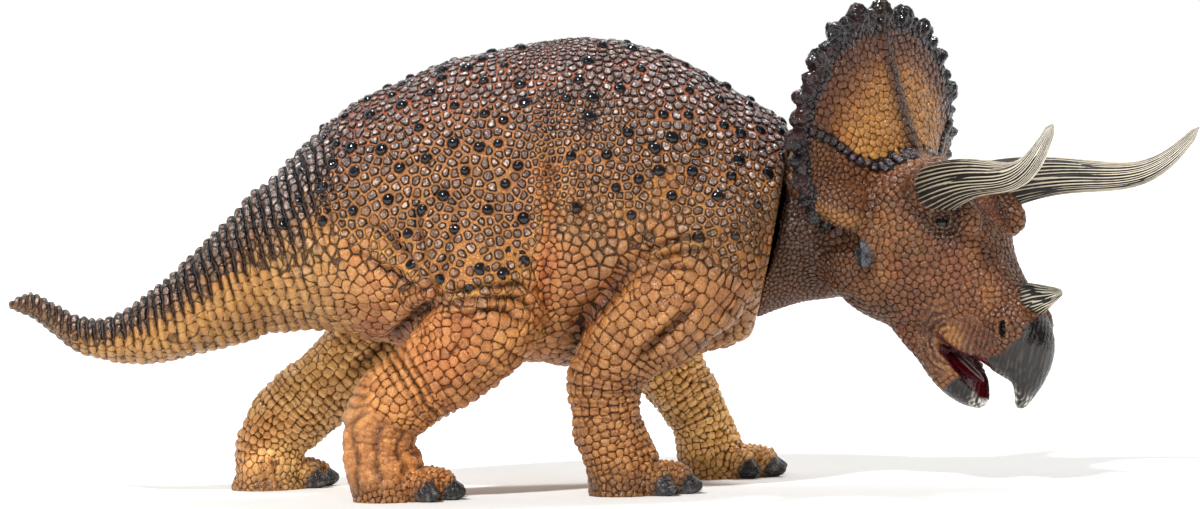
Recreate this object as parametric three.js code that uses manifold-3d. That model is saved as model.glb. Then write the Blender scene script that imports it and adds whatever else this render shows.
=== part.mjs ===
// Toy horned dinosaur, a moulded vinyl figure about 30 cm long that walks with its head lowered and turned.
// Millimetres. +X is ahead, +Y is the animal's left and +Z is up. The soles stand at zero height.
import * as THREE from "three";
import { mergeVertices } from "three/addons/utils/BufferGeometryUtils.js";
import Module from "manifold-3d";

const wasm = await Module();
wasm.setup();

// Seams and clearances
const seamGap = 0.3;
const runningGap = 0.4;
const overrun = 4;
const weldDistance = 0.0005;

// Torso
const torsoLength = 132;
const torsoHeight = 81;
const torsoWidth = 68;
const bellyHeight = 32.2;

// Tail
const tailLength = 68;
const tailHeight = 36;
const tailWidth = 32;

// Legs: height from the ground to the top of the thigh or shoulder, depth of the thickest part, track, feet
const hindLegHeight = 82;
const hindLegDepth = 20;
const hindTrackWidth = 52;
const frontLegHeight = 82;
const frontLegDepth = 18;
const frontTrackWidth = 52;
const footTurnDegrees = 35;
const footRadius = 9.6;
const footHeight = 7;
const toeLength = 12;
const toeWidth = 7.4;
const toeHeight = 8.4;
const nailLength = 7.4;
const nailWidth = 4.8;
const nailHeight = 4.8;

// Locating pegs
const legPegRadius = 4;
const legPegDepth = 4.5;
const tailPegRadius = 5;
const tailPegDepth = 7;
const hornPegRadius = 2.2;
const hornPegDepth = 4;

// Neck and its plug
const neckHeight = 42;
const neckWidth = 35;
const neckSeatHeight = 62.8;
const neckDropDegrees = 12;
const plugRadius = 5.4;
const plugLength = 9;
const flangeRadius = 7.2;
const flangeThickness = 3;

// Head
const headReach = 29;
const headTurnDegrees = 35;
const headNodDegrees = 41;
const headOffset = 4;
const headRise = 3.3;
const skullLength = 65;
const skullHeight = 41;
const skullWidth = 42;
const jawLength = 30;
const jawHeight = 18;
const jawWidth = 22;
const liningLength = 13;
const liningWidth = 8.6;
const liningThickness = 2.2;
const eyeRadius = 2.1;

// Frill
const frillWidth = 72;
const frillHeight = 51.5;
const frillDish = 9;
const frillRootThickness = 6;
const frillRimThickness = 2.6;
const knobCount = 15;
const knobWidth = 7;
const knobHeight = 7;
const knobThickness = 4.4;

// Horns
const browHornLength = 54;
const browHornRadius = 6;
const browHornSag = 6;
const sagLateShare = 1.6;
const noseHornLength = 9.4;
const noseHornRadius = 4.4;

// Facets
const torsoSegments = 28;
const limbSegments = 14;
const headSegments = 20;
const headRoundShare = 0.8;
const hornSegments = 10;
const ballSegments = 8;
const ballRings = 5;
const limbStepCount = 2;
const headStepCount = 2;

const degree = Math.PI / 180;
const upAxis = new THREE.Vector3(0, 0, 1);
const leftAxis = new THREE.Vector3(0, 1, 0);

// A closed mesh becomes a solid that joins and cuts; an inside-out one is turned.
function solidOf(geometry) {
  const bare = geometry.clone();
  bare.deleteAttribute("normal");
  bare.deleteAttribute("uv");
  const merged = mergeVertices(bare, weldDistance);
  const corners = new Uint32Array(merged.index.array);
  const vertProperties = merged.attributes.position.array;
  const made = new wasm.Manifold(new wasm.Mesh({ numProp: 3, vertProperties, triVerts: corners }));
  if (made.volume() > 0) return made;
  for (let i = 0; i < corners.length; i += 3) {
    [corners[i + 1], corners[i + 2]] = [corners[i + 2], corners[i + 1]];
  }
  return new wasm.Manifold(new wasm.Mesh({ numProp: 3, vertProperties, triVerts: corners }));
}

// The largest body of a solid: crumbs that a cut leaves between two pockets are dropped.
function mainBody(solid) {
  return solid.decompose().reduce((best, body) => (body.volume() > best.volume() ? body : best));
}

function geometryOf(solid) {
  const mesh = solid.getMesh();
  const geometry = new THREE.BufferGeometry();
  geometry.setAttribute("position", new THREE.BufferAttribute(mesh.vertProperties, 3));
  geometry.setIndex(new THREE.BufferAttribute(mesh.triVerts, 1));
  geometry.computeVertexNormals();
  return geometry;
}

// A skin over rings of equal count, closed by a fan at each end.
function loft(rings) {
  const count = rings[0].length;
  const points = rings.flat();
  const corners = [];
  for (let r = 0; r + 1 < rings.length; r += 1) {
    for (let i = 0; i < count; i += 1) {
      const a = r * count + i;
      const b = r * count + ((i + 1) % count);
      corners.push(a, b, a + count, b, b + count, a + count);
    }
  }
  [rings[0], rings[rings.length - 1]].forEach((ring, end) => {
    const middle = ring.reduce((sum, point) => sum.add(point), new THREE.Vector3()).divideScalar(count);
    const centre = points.push(middle) - 1;
    const first = end * (rings.length - 1) * count;
    for (let i = 0; i < count; i += 1) {
      const here = first + i;
      const next = first + ((i + 1) % count);
      corners.push(...(end ? [here, next, centre] : [next, here, centre]));
    }
  });
  const geometry = new THREE.BufferGeometry().setFromPoints(points);
  geometry.setIndex(corners);
  return geometry;
}

// More rows of shares on a smooth curve through the given ones.
function smoothRows(rows, stepCount) {
  const count = (rows.length - 1) * stepCount;
  const columns = rows[0].map((unused, column) => {
    return new THREE.SplineCurve(rows.map((row, place) => new THREE.Vector2(place, row[column])));
  });
  const rowAt = (along) => columns.map((curve) => curve.getPoint(along).y);
  return Array.from({ length: count + 1 }, (unused, i) => rowAt(i / count));
}

// A ring of an egg-shaped section: its widest line lies lowShare of the way up from bottom to top.
function eggRing(segments, halfWidth, bottom, top, lowShare, place, roundness = 1) {
  const widest = bottom + (top - bottom) * lowShare;
  const ring = [];
  for (let i = 0; i < segments; i += 1) {
    const turn = (i / segments) * 2 * Math.PI;
    const rise = Math.sin(turn) > 0 ? top - widest : widest - bottom;
    const across = Math.sign(Math.cos(turn)) * Math.abs(Math.cos(turn)) ** roundness;
    const up = Math.sign(Math.sin(turn)) * Math.abs(Math.sin(turn)) ** roundness;
    ring.push(place(halfWidth * across, widest + rise * up));
  }
  return ring;
}

function ball(length, width, height) {
  const geometry = new THREE.SphereGeometry(1, ballSegments, ballRings);
  return geometry.rotateX(Math.PI / 2).scale(length / 2, width / 2, height / 2);
}

// A round peg from one point along a direction.
function peg(radius, length, from, direction) {
  const geometry = new THREE.CylinderGeometry(radius, radius, length, limbSegments);
  geometry.translate(0, length / 2, 0);
  geometry.applyQuaternion(new THREE.Quaternion().setFromUnitVectors(leftAxis, direction));
  return geometry.translate(from.x, from.y, from.z);
}

// Torso and tail are lofted along X. Rows: place along, top, bottom, half width.
const torsoShares = [
  [0.0, 0.59, 0.114, 0.44],
  [0.076, 0.704, 0.123, 0.59],
  [0.167, 0.817, 0.101, 0.75],
  [0.258, 0.883, 0.066, 0.87],
  [0.348, 0.938, 0.037, 0.94],
  [0.455, 0.975, 0.011, 0.985],
  [0.561, 1.0, 0.0, 1.0],
  [0.667, 0.993, 0.005, 0.985],
  [0.758, 0.95, 0.014, 0.93],
  [0.833, 0.886, 0.031, 0.855],
  [0.902, 0.817, 0.062, 0.765],
  [0.955, 0.763, 0.106, 0.675],
  [1.0, 0.706, 0.143, 0.59],
  [1.05, 0.64, 0.2, 0.48],
];
const torsoWidestShare = 0.42;
const [, tailRootTopShare, tailRootBottomShare, tailRootWidthShare] = torsoShares[0];

const torsoX = (share) => (share - 0.5) * torsoLength;
const torsoZ = (share) => bellyHeight + share * torsoHeight;

function torsoRing([along, top, bottom, width]) {
  const place = (y, z) => new THREE.Vector3(torsoX(along), y, z);
  const halfWidth = (torsoWidth / 2) * width;
  return eggRing(torsoSegments, halfWidth, torsoZ(bottom), torsoZ(top), torsoWidestShare, place);
}

// Rows: place back from the root, top and bottom above or under the root's middle line, half width, sway.
const tailShares = [
  [0.06, 0.47, -0.57, 0.86, 0.0],
  [0.12, 0.33, -0.6, 0.82, 0.0],
  [0.24, 0.12, -0.65, 0.7, 0.01],
  [0.35, -0.07, -0.7, 0.6, 0.03],
  [0.46, -0.24, -0.73, 0.5, 0.06],
  [0.56, -0.36, -0.72, 0.41, 0.1],
  [0.65, -0.42, -0.69, 0.33, 0.16],
  [0.74, -0.39, -0.64, 0.27, 0.23],
  [0.82, -0.31, -0.53, 0.22, 0.32],
  [0.9, -0.23, -0.41, 0.17, 0.42],
  [0.96, -0.25, -0.36, 0.12, 0.51],
  [1.0, -0.29, -0.33, 0.04, 0.58],
];
const tailRootX = torsoX(0);
const tailRootZ = (torsoZ(tailRootTopShare) + torsoZ(tailRootBottomShare)) / 2;

function tailRing([back, top, bottom, width, sway]) {
  const x = tailRootX - back * tailLength;
  const place = (y, z) => new THREE.Vector3(x, y + (sway * tailWidth) / 2, z);
  const low = tailRootZ + bottom * tailHeight;
  const high = tailRootZ + top * tailHeight;
  return eggRing(torsoSegments, (tailWidth / 2) * width, low, high, torsoWidestShare, place);
}

function tailRoot(x) {
  const place = (y, z) => new THREE.Vector3(x, y, z);
  const halfWidth = (torsoWidth / 2) * tailRootWidthShare;
  const low = torsoZ(tailRootBottomShare);
  return eggRing(torsoSegments, halfWidth, low, torsoZ(tailRootTopShare), torsoWidestShare, place);
}

function tailPeg(gap) {
  const start = new THREE.Vector3(tailRootX - overrun, 0, tailRootZ);
  const length = tailPegDepth + overrun + gap;
  return solidOf(peg(tailPegRadius + gap, length, start, new THREE.Vector3(1, 0, 0)));
}

const tailSolid = solidOf(loft([tailRoot(tailRootX - seamGap), ...tailShares.map(tailRing)])).add(tailPeg(0));

// Limbs: rows of place ahead of the joint and height, as shares of the limb's height, place out from the
// middle as a share of half the track, then depth fore and aft and across, as shares of the limb's depth.
const hindRightShares = [
  [-0.02, 1.0, 0.66, 0.74, 0.35],
  [-0.012, 0.9, 0.78, 0.97, 0.56],
  [0.0, 0.786, 0.87, 1.03, 0.66],
  [0.024, 0.655, 0.96, 0.91, 0.63],
  [0.03, 0.55, 1.02, 0.74, 0.56],
  [-0.042, 0.44, 1.02, 0.57, 0.5],
  [-0.16, 0.357, 1.0, 0.49, 0.46],
  [-0.268, 0.274, 0.97, 0.48, 0.43],
  [-0.3, 0.167, 0.96, 0.43, 0.4],
  [-0.282, 0.08, 0.96, 0.46, 0.46],
  [-0.262, 0.0, 0.96, 0.4, 0.44],
];
const hindLeftShares = [
  [-0.048, 1.0, 0.66, 0.74, 0.35],
  [-0.06, 0.9, 0.78, 0.9, 0.56],
  [-0.095, 0.786, 0.87, 0.93, 0.66],
  [-0.143, 0.655, 0.96, 0.85, 0.63],
  [-0.214, 0.536, 1.0, 0.7, 0.56],
  [-0.345, 0.434, 1.0, 0.56, 0.5],
  [-0.46, 0.335, 0.98, 0.49, 0.46],
  [-0.6, 0.225, 0.96, 0.46, 0.43],
  [-0.655, 0.15, 0.96, 0.42, 0.4],
  [-0.668, 0.077, 0.96, 0.43, 0.44],
  [-0.668, 0.0, 0.96, 0.38, 0.44],
];
const frontRightShares = [
  [0.004, 1.0, 0.58, 0.72, 0.34],
  [0.01, 0.893, 0.72, 0.94, 0.56],
  [-0.002, 0.774, 0.83, 1.03, 0.68],
  [-0.038, 0.655, 0.93, 0.96, 0.68],
  [-0.115, 0.554, 0.98, 0.79, 0.63],
  [-0.215, 0.464, 1.0, 0.6, 0.55],
  [-0.275, 0.357, 0.98, 0.49, 0.48],
  [-0.275, 0.238, 0.96, 0.45, 0.44],
  [-0.25, 0.143, 0.96, 0.45, 0.44],
  [-0.23, 0.08, 0.96, 0.5, 0.48],
  [-0.218, 0.0, 0.96, 0.48, 0.5],
];
const frontLeftShares = [
  [0.004, 1.0, 0.58, 0.72, 0.34],
  [0.004, 0.893, 0.72, 0.9, 0.56],
  [-0.014, 0.774, 0.83, 0.95, 0.68],
  [-0.056, 0.655, 0.93, 0.86, 0.68],
  [-0.1, 0.548, 0.98, 0.67, 0.63],
  [-0.11, 0.44, 1.0, 0.54, 0.55],
  [-0.075, 0.345, 0.98, 0.47, 0.48],
  [-0.02, 0.256, 0.96, 0.42, 0.44],
  [0.025, 0.173, 0.96, 0.41, 0.41],
  [0.045, 0.083, 0.96, 0.46, 0.44],
  [0.062, 0.0, 0.96, 0.42, 0.46],
];
const toeTurns = [-46, -16, 14, 44];
const toeReachShares = [0.82, 1.12, 1.16, 0.9];
const hindJointShare = 0.386;
const frontJointShare = 0.803;
const jointRow = 2;

// Rings stand square to the limb's middle line, and each stretch between two rings is a solid of its own.
function limbSolid(limb, grow) {
  const { side, height, depth, track, jointX } = limb;
  const rows = smoothRows(limb.rows, limbStepCount);
  const joint = jointRow * limbStepCount;
  const centres = rows.map(([ahead, up, out]) => {
    return new THREE.Vector3(jointX + ahead * height, (side * out * track) / 2, up * height);
  });
  const rings = rows.map(([, , , fore, across], row) => {
    const before = centres[Math.max(row - 1, 0)];
    const after = centres[Math.min(row + 1, rows.length - 1)];
    const along = after.clone().sub(before).normalize();
    if (row === rows.length - 1) along.copy(upAxis).negate();
    const foreAxis = leftAxis.clone().cross(along).normalize();
    const acrossAxis = along.clone().cross(foreAxis).normalize();
    const centre = centres[row].clone();
    if (row === 0) centre.addScaledVector(along, -grow);
    return Array.from({ length: limbSegments }, (unused, i) => {
      const turn = (i / limbSegments) * 2 * Math.PI;
      const point = centre.clone().addScaledVector(foreAxis, (fore * depth + grow) * Math.cos(turn));
      return point.addScaledVector(acrossAxis, (across * depth + grow) * Math.sin(turn));
    });
  });
  let solid = solidOf(loft(rings.slice(0, 2)));
  for (let row = 1; row + 1 < rings.length; row += 1) {
    solid = solid.add(solidOf(loft(rings.slice(row, row + 2))));
  }
  const inward = new THREE.Vector3(0, -side, 0);
  const pegLength = rows[joint][4] * depth + legPegDepth + grow;
  return solid.add(solidOf(peg(legPegRadius + grow, pegLength, centres[joint], inward)));
}

// The foot's pad with its toes and nails, cut level with the ground.
function footSolid(limb) {
  const { rows, side, height, track, jointX, footTurn } = limb;
  const [ahead, , out] = rows[rows.length - 1];
  const centre = new THREE.Vector3(jointX + ahead * height, (side * out * track) / 2, 0);
  const pad = ball(2 * footRadius, 2 * footRadius, 2 * footHeight);
  let solid = solidOf(pad.translate(centre.x, centre.y, 0));
  toeTurns.forEach((toeTurn, toe) => {
    const turn = (toeTurn + footTurn) * side * degree;
    const reach = footRadius * toeReachShares[toe];
    const toeBall = ball(toeLength, toeWidth, toeHeight).translate(reach, 0, toeHeight / 2 - seamGap);
    const nail = ball(nailLength, nailWidth, nailHeight);
    nail.translate(reach + toeLength / 2 - nailLength / 4, 0, nailHeight / 2 - seamGap);
    [toeBall, nail].forEach((geometry) => {
      geometry.rotateZ(turn).translate(centre.x, centre.y, 0);
      solid = solid.add(solidOf(geometry));
    });
  });
  const ground = new THREE.BoxGeometry(4 * footRadius, 4 * footRadius, 2 * footHeight);
  return solid.subtract(solidOf(ground.translate(centre.x, centre.y, -footHeight)));
}

const hindLimb = {
  jointX: torsoX(hindJointShare),
  height: hindLegHeight,
  depth: hindLegDepth,
  track: hindTrackWidth,
};
const frontLimb = {
  jointX: torsoX(frontJointShare),
  height: frontLegHeight,
  depth: frontLegDepth,
  track: frontTrackWidth,
};

const limbs = {
  hind_leg_right: { ...hindLimb, rows: hindRightShares, side: -1, footTurn: 0 },
  hind_leg_left: { ...hindLimb, rows: hindLeftShares, side: 1, footTurn: footTurnDegrees },
  front_leg_right: { ...frontLimb, rows: frontRightShares, side: -1, footTurn: 0 },
  front_leg_left: { ...frontLimb, rows: frontLeftShares, side: 1, footTurn: 0 },
};

// The neck turns on a line through the collar, and the collar's face is square to it.
const collarShare = 0.9545;
const collar = new THREE.Vector3(torsoX(collarShare), 0, neckSeatHeight);
const neckAxis = new THREE.Vector3(1, 0, 0).applyAxisAngle(leftAxis, neckDropDegrees * degree);
const neckUp = upAxis.clone().applyAxisAngle(leftAxis, neckDropDegrees * degree);

// The turned head has its own frame: ahead along the snout, left, and up out of the forehead.
const headCentre = collar.clone();
headCentre.x += headReach;
headCentre.y -= headOffset;
headCentre.z += headRise;
const headFrame = new THREE.Group();
headFrame.rotation.set(0, headNodDegrees * degree, -headTurnDegrees * degree, "ZYX");
headFrame.position.copy(headCentre);
headFrame.updateMatrix();
const intoHead = headFrame.matrix.clone().invert();

function beyondCollar() {
  const size = torsoLength;
  const block = new THREE.BoxGeometry(size, 2 * torsoWidth, 2 * torsoHeight);
  block.translate(size / 2, 0, 0).rotateY(neckDropDegrees * degree);
  return solidOf(block.translate(collar.x, collar.y, collar.z));
}

// The plug with its snap flange, or with a gap its socket.
function plugSolid(gap) {
  const backwards = neckAxis.clone().negate();
  const start = collar.clone().addScaledVector(neckAxis, overrun);
  const shank = peg(plugRadius + gap, plugLength + overrun, start, backwards);
  const flangeStart = collar.clone().addScaledVector(neckAxis, gap - plugLength);
  const flange = peg(flangeRadius + gap, flangeThickness + 2 * gap, flangeStart, backwards);
  return solidOf(shank).add(solidOf(flange));
}

// Rows: share of the way from collar to head, nape above and throat below the middle line, half width.
const neckShares = [
  [0.0, 1.2, 1.0, 1.0],
  [0.18, 1.22, 0.93, 0.97],
  [0.4, 1.15, 0.88, 0.98],
  [0.62, 1.0, 0.88, 1.0],
  [0.85, 0.88, 0.86, 0.96],
  [1.05, 0.72, 0.72, 0.8],
];

function neckSolid(gap) {
  const rings = neckShares.map(([along, nape, throat, wide]) => {
    const start = collar.clone().addScaledVector(neckAxis, runningGap);
    const centre = start.lerp(headCentre, along).addScaledVector(neckAxis, along * gap);
    const high = (neckHeight / 2) * nape + gap;
    const low = (-neckHeight / 2) * throat - gap;
    const halfWidth = (neckWidth / 2) * wide + gap;
    const place = (across, up) => {
      return centre.clone().addScaledVector(leftAxis, across).addScaledVector(neckUp, up);
    };
    return eggRing(torsoSegments, halfWidth, low, high, throat / (throat + nape), place);
  });
  return solidOf(loft(rings));
}

function torsoSolid() {
  let solid = solidOf(loft(torsoShares.map(torsoRing))).subtract(beyondCollar());
  Object.values(limbs).forEach((limb) => {
    solid = solid.subtract(limbSolid(limb, seamGap));
  });
  return mainBody(solid.subtract(tailPeg(seamGap)).subtract(plugSolid(runningGap)));
}

// Head rows, along the snout: place, top, bottom, half width, height of the widest line.
const skullShares = [
  [-0.09, 0.2, -0.26, 0.5, 0.5],
  [-0.03, 0.46, -0.42, 0.84, 0.45],
  [0.1, 0.56, -0.48, 1.0, 0.4],
  [0.2, 0.59, -0.48, 0.97, 0.42],
  [0.29, 0.55, -0.44, 0.86, 0.5],
  [0.4, 0.47, -0.36, 0.73, 0.47],
  [0.5, 0.38, -0.28, 0.6, 0.44],
  [0.6, 0.33, -0.22, 0.5, 0.42],
  [0.7, 0.3, -0.19, 0.42, 0.4],
  [0.79, 0.25, -0.2, 0.34, 0.4],
  [0.87, 0.16, -0.24, 0.22, 0.4],
  [0.91, 0.04, -0.28, 0.1, 0.4],
];
const jawShares = [
  [0.0, 0.1, -0.38, 0.85, 0.5],
  [0.2, 0.16, -0.4, 0.98, 0.5],
  [0.4, 0.16, -0.44, 0.95, 0.6],
  [0.55, -0.02, -0.52, 0.82, 0.7],
  [0.72, -0.1, -0.56, 0.62, 0.7],
  [0.88, -0.2, -0.52, 0.4, 0.7],
  [1.0, -0.3, -0.42, 0.12, 0.7],
];
const jawStartShare = 0.32;
const jawLevelShare = -0.26;

function headLoft(rows, length, height, width, start, level, gap) {
  const rings = smoothRows(rows, headStepCount).map(([along, top, bottom, wide, widest]) => {
    const place = (across, up) => new THREE.Vector3(start + along * length, across, up);
    const low = level + bottom * height - gap;
    const high = level + top * height + gap;
    return eggRing(headSegments, (width / 2) * wide + gap, low, high, widest, place, headRoundShare);
  });
  return solidOf(loft(rings));
}

const skullLoft = (gap) => headLoft(skullShares, skullLength, skullHeight, skullWidth, 0, 0, gap);
const jawStart = skullLength * jawStartShare;
const jawLevel = skullHeight * jawLevelShare;
const jawLoft = (gap) => headLoft(jawShares, jawLength, jawHeight, jawWidth, jawStart, jawLevel, gap);

// Frill rows from the near lower tip over the top: across, rise, set forward.
const frillRimShares = [
  [0.62, 0.0, -0.4],
  [0.8, 0.08, -0.46],
  [0.94, 0.23, -0.44],
  [1.0, 0.4, -0.34],
  [0.95, 0.6, -0.22],
  [0.8, 0.77, -0.1],
  [0.56, 0.91, -0.04],
  [0.29, 0.98, 0.0],
  [0.0, 1.0, 0.0],
];
const frillRootAcrossShare = 0.08;
const frillRootRiseShare = 0.16;
const frillStepCount = 5;

// The frill stands upright while the snout points down, so its frame is the head's nodded back.
const frillUp = new THREE.Vector3(-Math.sin(headNodDegrees * degree), 0, Math.cos(headNodDegrees * degree));
const frillAhead = new THREE.Vector3(Math.cos(headNodDegrees * degree), 0, Math.sin(headNodDegrees * degree));
const mirrored = frillRimShares.slice(0, -1).map(([across, rise, ahead]) => [-across, rise, ahead]);
const frillRows = [...frillRimShares, ...mirrored.reverse()];

function frillPoint([across, rise, ahead], out, lift) {
  const rootAcross = across * frillRootAcrossShare;
  const rootRise = frillRootRiseShare + (rise - frillRootRiseShare) * frillRootAcrossShare;
  const y = ((rootAcross + (across - rootAcross) * out) * frillWidth) / 2;
  const z = (rootRise + (rise - rootRise) * out) * frillHeight;
  const x = frillDish * (1 - out) ** 1.5 + frillDish * ahead * out + lift;
  return new THREE.Vector3(0, y, 0).addScaledVector(frillUp, z).addScaledVector(frillAhead, x);
}

function frillPlate(gap) {
  const rings = frillRows.map((row) => {
    const ring = [];
    for (let step = 0; step <= frillStepCount; step += 1) {
      const out = step / frillStepCount;
      const thickness = frillRootThickness + (frillRimThickness - frillRootThickness) * out;
      ring.push(frillPoint(row, out, thickness / 2 + gap));
    }
    for (let step = frillStepCount; step >= 0; step -= 1) {
      const out = step / frillStepCount;
      const thickness = frillRootThickness + (frillRimThickness - frillRootThickness) * out;
      ring.push(frillPoint(row, out, -thickness / 2 - gap));
    }
    return ring;
  });
  return solidOf(loft(rings));
}

function frillSolid() {
  const rim = new THREE.CatmullRomCurve3(frillRows.map((row) => frillPoint(row, 1, 0)));
  let solid = frillPlate(0);
  for (let knob = 0; knob < knobCount; knob += 1) {
    const at = (knob + 0.5) / knobCount;
    const place = rim.getPointAt(at);
    const along = rim.getTangentAt(at);
    const outward = frillAhead.clone().cross(along).normalize();
    const turned = new THREE.Matrix4().makeBasis(along, outward, frillAhead);
    const geometry = ball(knobWidth, knobHeight, knobThickness).applyMatrix4(turned);
    solid = solid.add(solidOf(geometry.translate(place.x, place.y, place.z)));
  }
  return solid;
}

// A horn along its middle line, with a peg into the skull at its root.
function hornSolid(horn, gap) {
  const { root, reach, radius, sag, radiusShares } = horn;
  const rings = radiusShares.map((share, row) => {
    const along = row / (radiusShares.length - 1);
    const centre = root.clone().addScaledVector(reach, along);
    centre.addScaledVector(frillUp, -sag * Math.sin(Math.PI * along ** sagLateShare));
    const axis = reach.clone().normalize();
    const sideAxis = axis.clone().cross(frillUp).normalize();
    const topAxis = sideAxis.clone().cross(axis);
    return Array.from({ length: hornSegments }, (unused, i) => {
      const turn = (i / hornSegments) * 2 * Math.PI;
      const size = share * radius + gap;
      const point = centre.clone().addScaledVector(sideAxis, size * Math.cos(turn));
      return point.addScaledVector(topAxis, size * Math.sin(turn));
    });
  });
  const inward = reach.clone().normalize().negate();
  return solidOf(loft(rings)).add(solidOf(peg(hornPegRadius + gap, hornPegDepth + gap, root, inward)));
}

const browHornRadiusShares = [1.04, 0.9, 0.8, 0.72, 0.64, 0.56, 0.46, 0.33, 0.08];
const browHornRootShares = { ahead: 0.2, across: 0.64, up: 0.52 };
const browHornAimShares = [0.51, 0.36, 0.78];
const noseHornRadiusShares = [1.0, 0.86, 0.62, 0.38, 0.1];
const noseHornRootShares = { ahead: 0.69, up: 0.29 };
const noseHornAimShares = [0.58, 0, 0.81];

function browHorn(side) {
  const { ahead, across, up } = browHornRootShares;
  const root = new THREE.Vector3(skullLength * ahead, (side * across * skullWidth) / 2, skullHeight * up);
  const reach = new THREE.Vector3(...browHornAimShares).multiplyScalar(browHornLength);
  reach.y *= side;
  return { root, reach, radius: browHornRadius, sag: browHornSag, radiusShares: browHornRadiusShares };
}

function noseHorn() {
  const { ahead, up } = noseHornRootShares;
  const root = new THREE.Vector3(skullLength * ahead, 0, skullHeight * up);
  const reach = new THREE.Vector3(...noseHornAimShares).multiplyScalar(noseHornLength);
  return { root, reach, radius: noseHornRadius, sag: 0, radiusShares: noseHornRadiusShares };
}

const eyeShares = { ahead: 0.3, across: 0.67, up: 0.4 };

function eyeSolid(side, gap) {
  const size = 2 * (eyeRadius + gap);
  const { ahead, across, up } = eyeShares;
  const geometry = ball(size, size, size);
  geometry.translate(skullLength * ahead, (side * across * skullWidth) / 2, skullHeight * up);
  return solidOf(geometry);
}

// The lining lies on the jaw, under the open mouth.
const liningStartShare = 0.44;
const liningLevelShare = -0.08;
const liningTiltDegrees = 14;

function liningSolid(gap) {
  const middle = jawStart + jawLength * liningStartShare + liningLength / 2;
  const geometry = ball(liningLength + 2 * gap, liningWidth + 2 * gap, liningThickness + 2 * gap);
  geometry.rotateY(liningTiltDegrees * degree);
  return solidOf(geometry.translate(middle, 0, jawLevel + jawHeight * liningLevelShare));
}

const neckInHead = (gap) => neckSolid(gap).add(plugSolid(0)).transform(intoHead.elements);
const sides = { right: -1, left: 1 };
const horns = { brow_horn_right: browHorn(-1), brow_horn_left: browHorn(1), nose_horn: noseHorn() };

function skullSolid() {
  let solid = skullLoft(0).subtract(neckInHead(seamGap)).subtract(frillPlate(seamGap));
  Object.values(horns).forEach((horn) => {
    solid = solid.subtract(hornSolid(horn, seamGap));
  });
  Object.values(sides).forEach((side) => {
    solid = solid.subtract(eyeSolid(side, seamGap));
  });
  return mainBody(solid);
}

function vinyl(name, colour, roughness) {
  return new THREE.MeshStandardMaterial({ name, color: colour, roughness, metalness: 0 });
}
const colours = {
  torso: 0x8a5a30,
  tail: 0x94663a,
  leg: 0xb9803f,
  neck: 0x4d3322,
  head: 0x7a4a2a,
  frill: 0xb4813c,
  horn: 0xcfc6ac,
  jaw: 0x6a4a30,
  lining: 0x8c1220,
  eye: 0x14100e,
};

const figure = new THREE.Group();
const headGroup = new THREE.Group();
headGroup.rotation.copy(headFrame.rotation);
headGroup.position.copy(headFrame.position);
figure.add(headGroup);

function addPiece(group, name, solid, colour, roughness) {
  const mesh = new THREE.Mesh(geometryOf(solid), vinyl(name, colour, roughness));
  mesh.name = name;
  group.add(mesh);
}

addPiece(figure, "torso", torsoSolid(), colours.torso, 0.5);
addPiece(figure, "tail", tailSolid, colours.tail, 0.5);
Object.entries(limbs).forEach(([name, limb]) => {
  addPiece(figure, name, limbSolid(limb, 0).add(footSolid(limb)), colours.leg, 0.5);
});
addPiece(headGroup, "neck", mainBody(neckInHead(0).subtract(frillPlate(seamGap))), colours.neck, 0.55);
addPiece(headGroup, "head", skullSolid(), colours.head, 0.5);
addPiece(headGroup, "frill", frillSolid(), colours.frill, 0.5);
Object.entries(horns).forEach(([name, horn]) => {
  addPiece(headGroup, name, hornSolid(horn, 0), colours.horn, 0.6);
});
const liningCut = liningSolid(seamGap);
const jaw = jawLoft(0).subtract(skullLoft(seamGap)).subtract(liningCut).subtract(neckInHead(seamGap));
addPiece(headGroup, "lower_jaw", mainBody(jaw), colours.jaw, 0.5);
const lining = mainBody(liningSolid(0).subtract(skullLoft(seamGap)));
addPiece(headGroup, "mouth_lining", lining, colours.lining, 0.2);
Object.entries(sides).forEach(([name, side]) => {
  addPiece(headGroup, `eye_${name}`, eyeSolid(side, 0), colours.eye, 0.15);
});

// The frame's origin is the middle of the ground under the figure.
const extent = new THREE.Box3().setFromObject(figure, true);
const middle = extent.getCenter(new THREE.Vector3());
figure.position.set(-middle.x, -middle.y, -extent.min.z);

export default figure;
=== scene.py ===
import math

import bpy
import numpy as np
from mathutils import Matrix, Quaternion, Vector, kdtree
from mathutils.bvhtree import BVHTree


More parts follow.
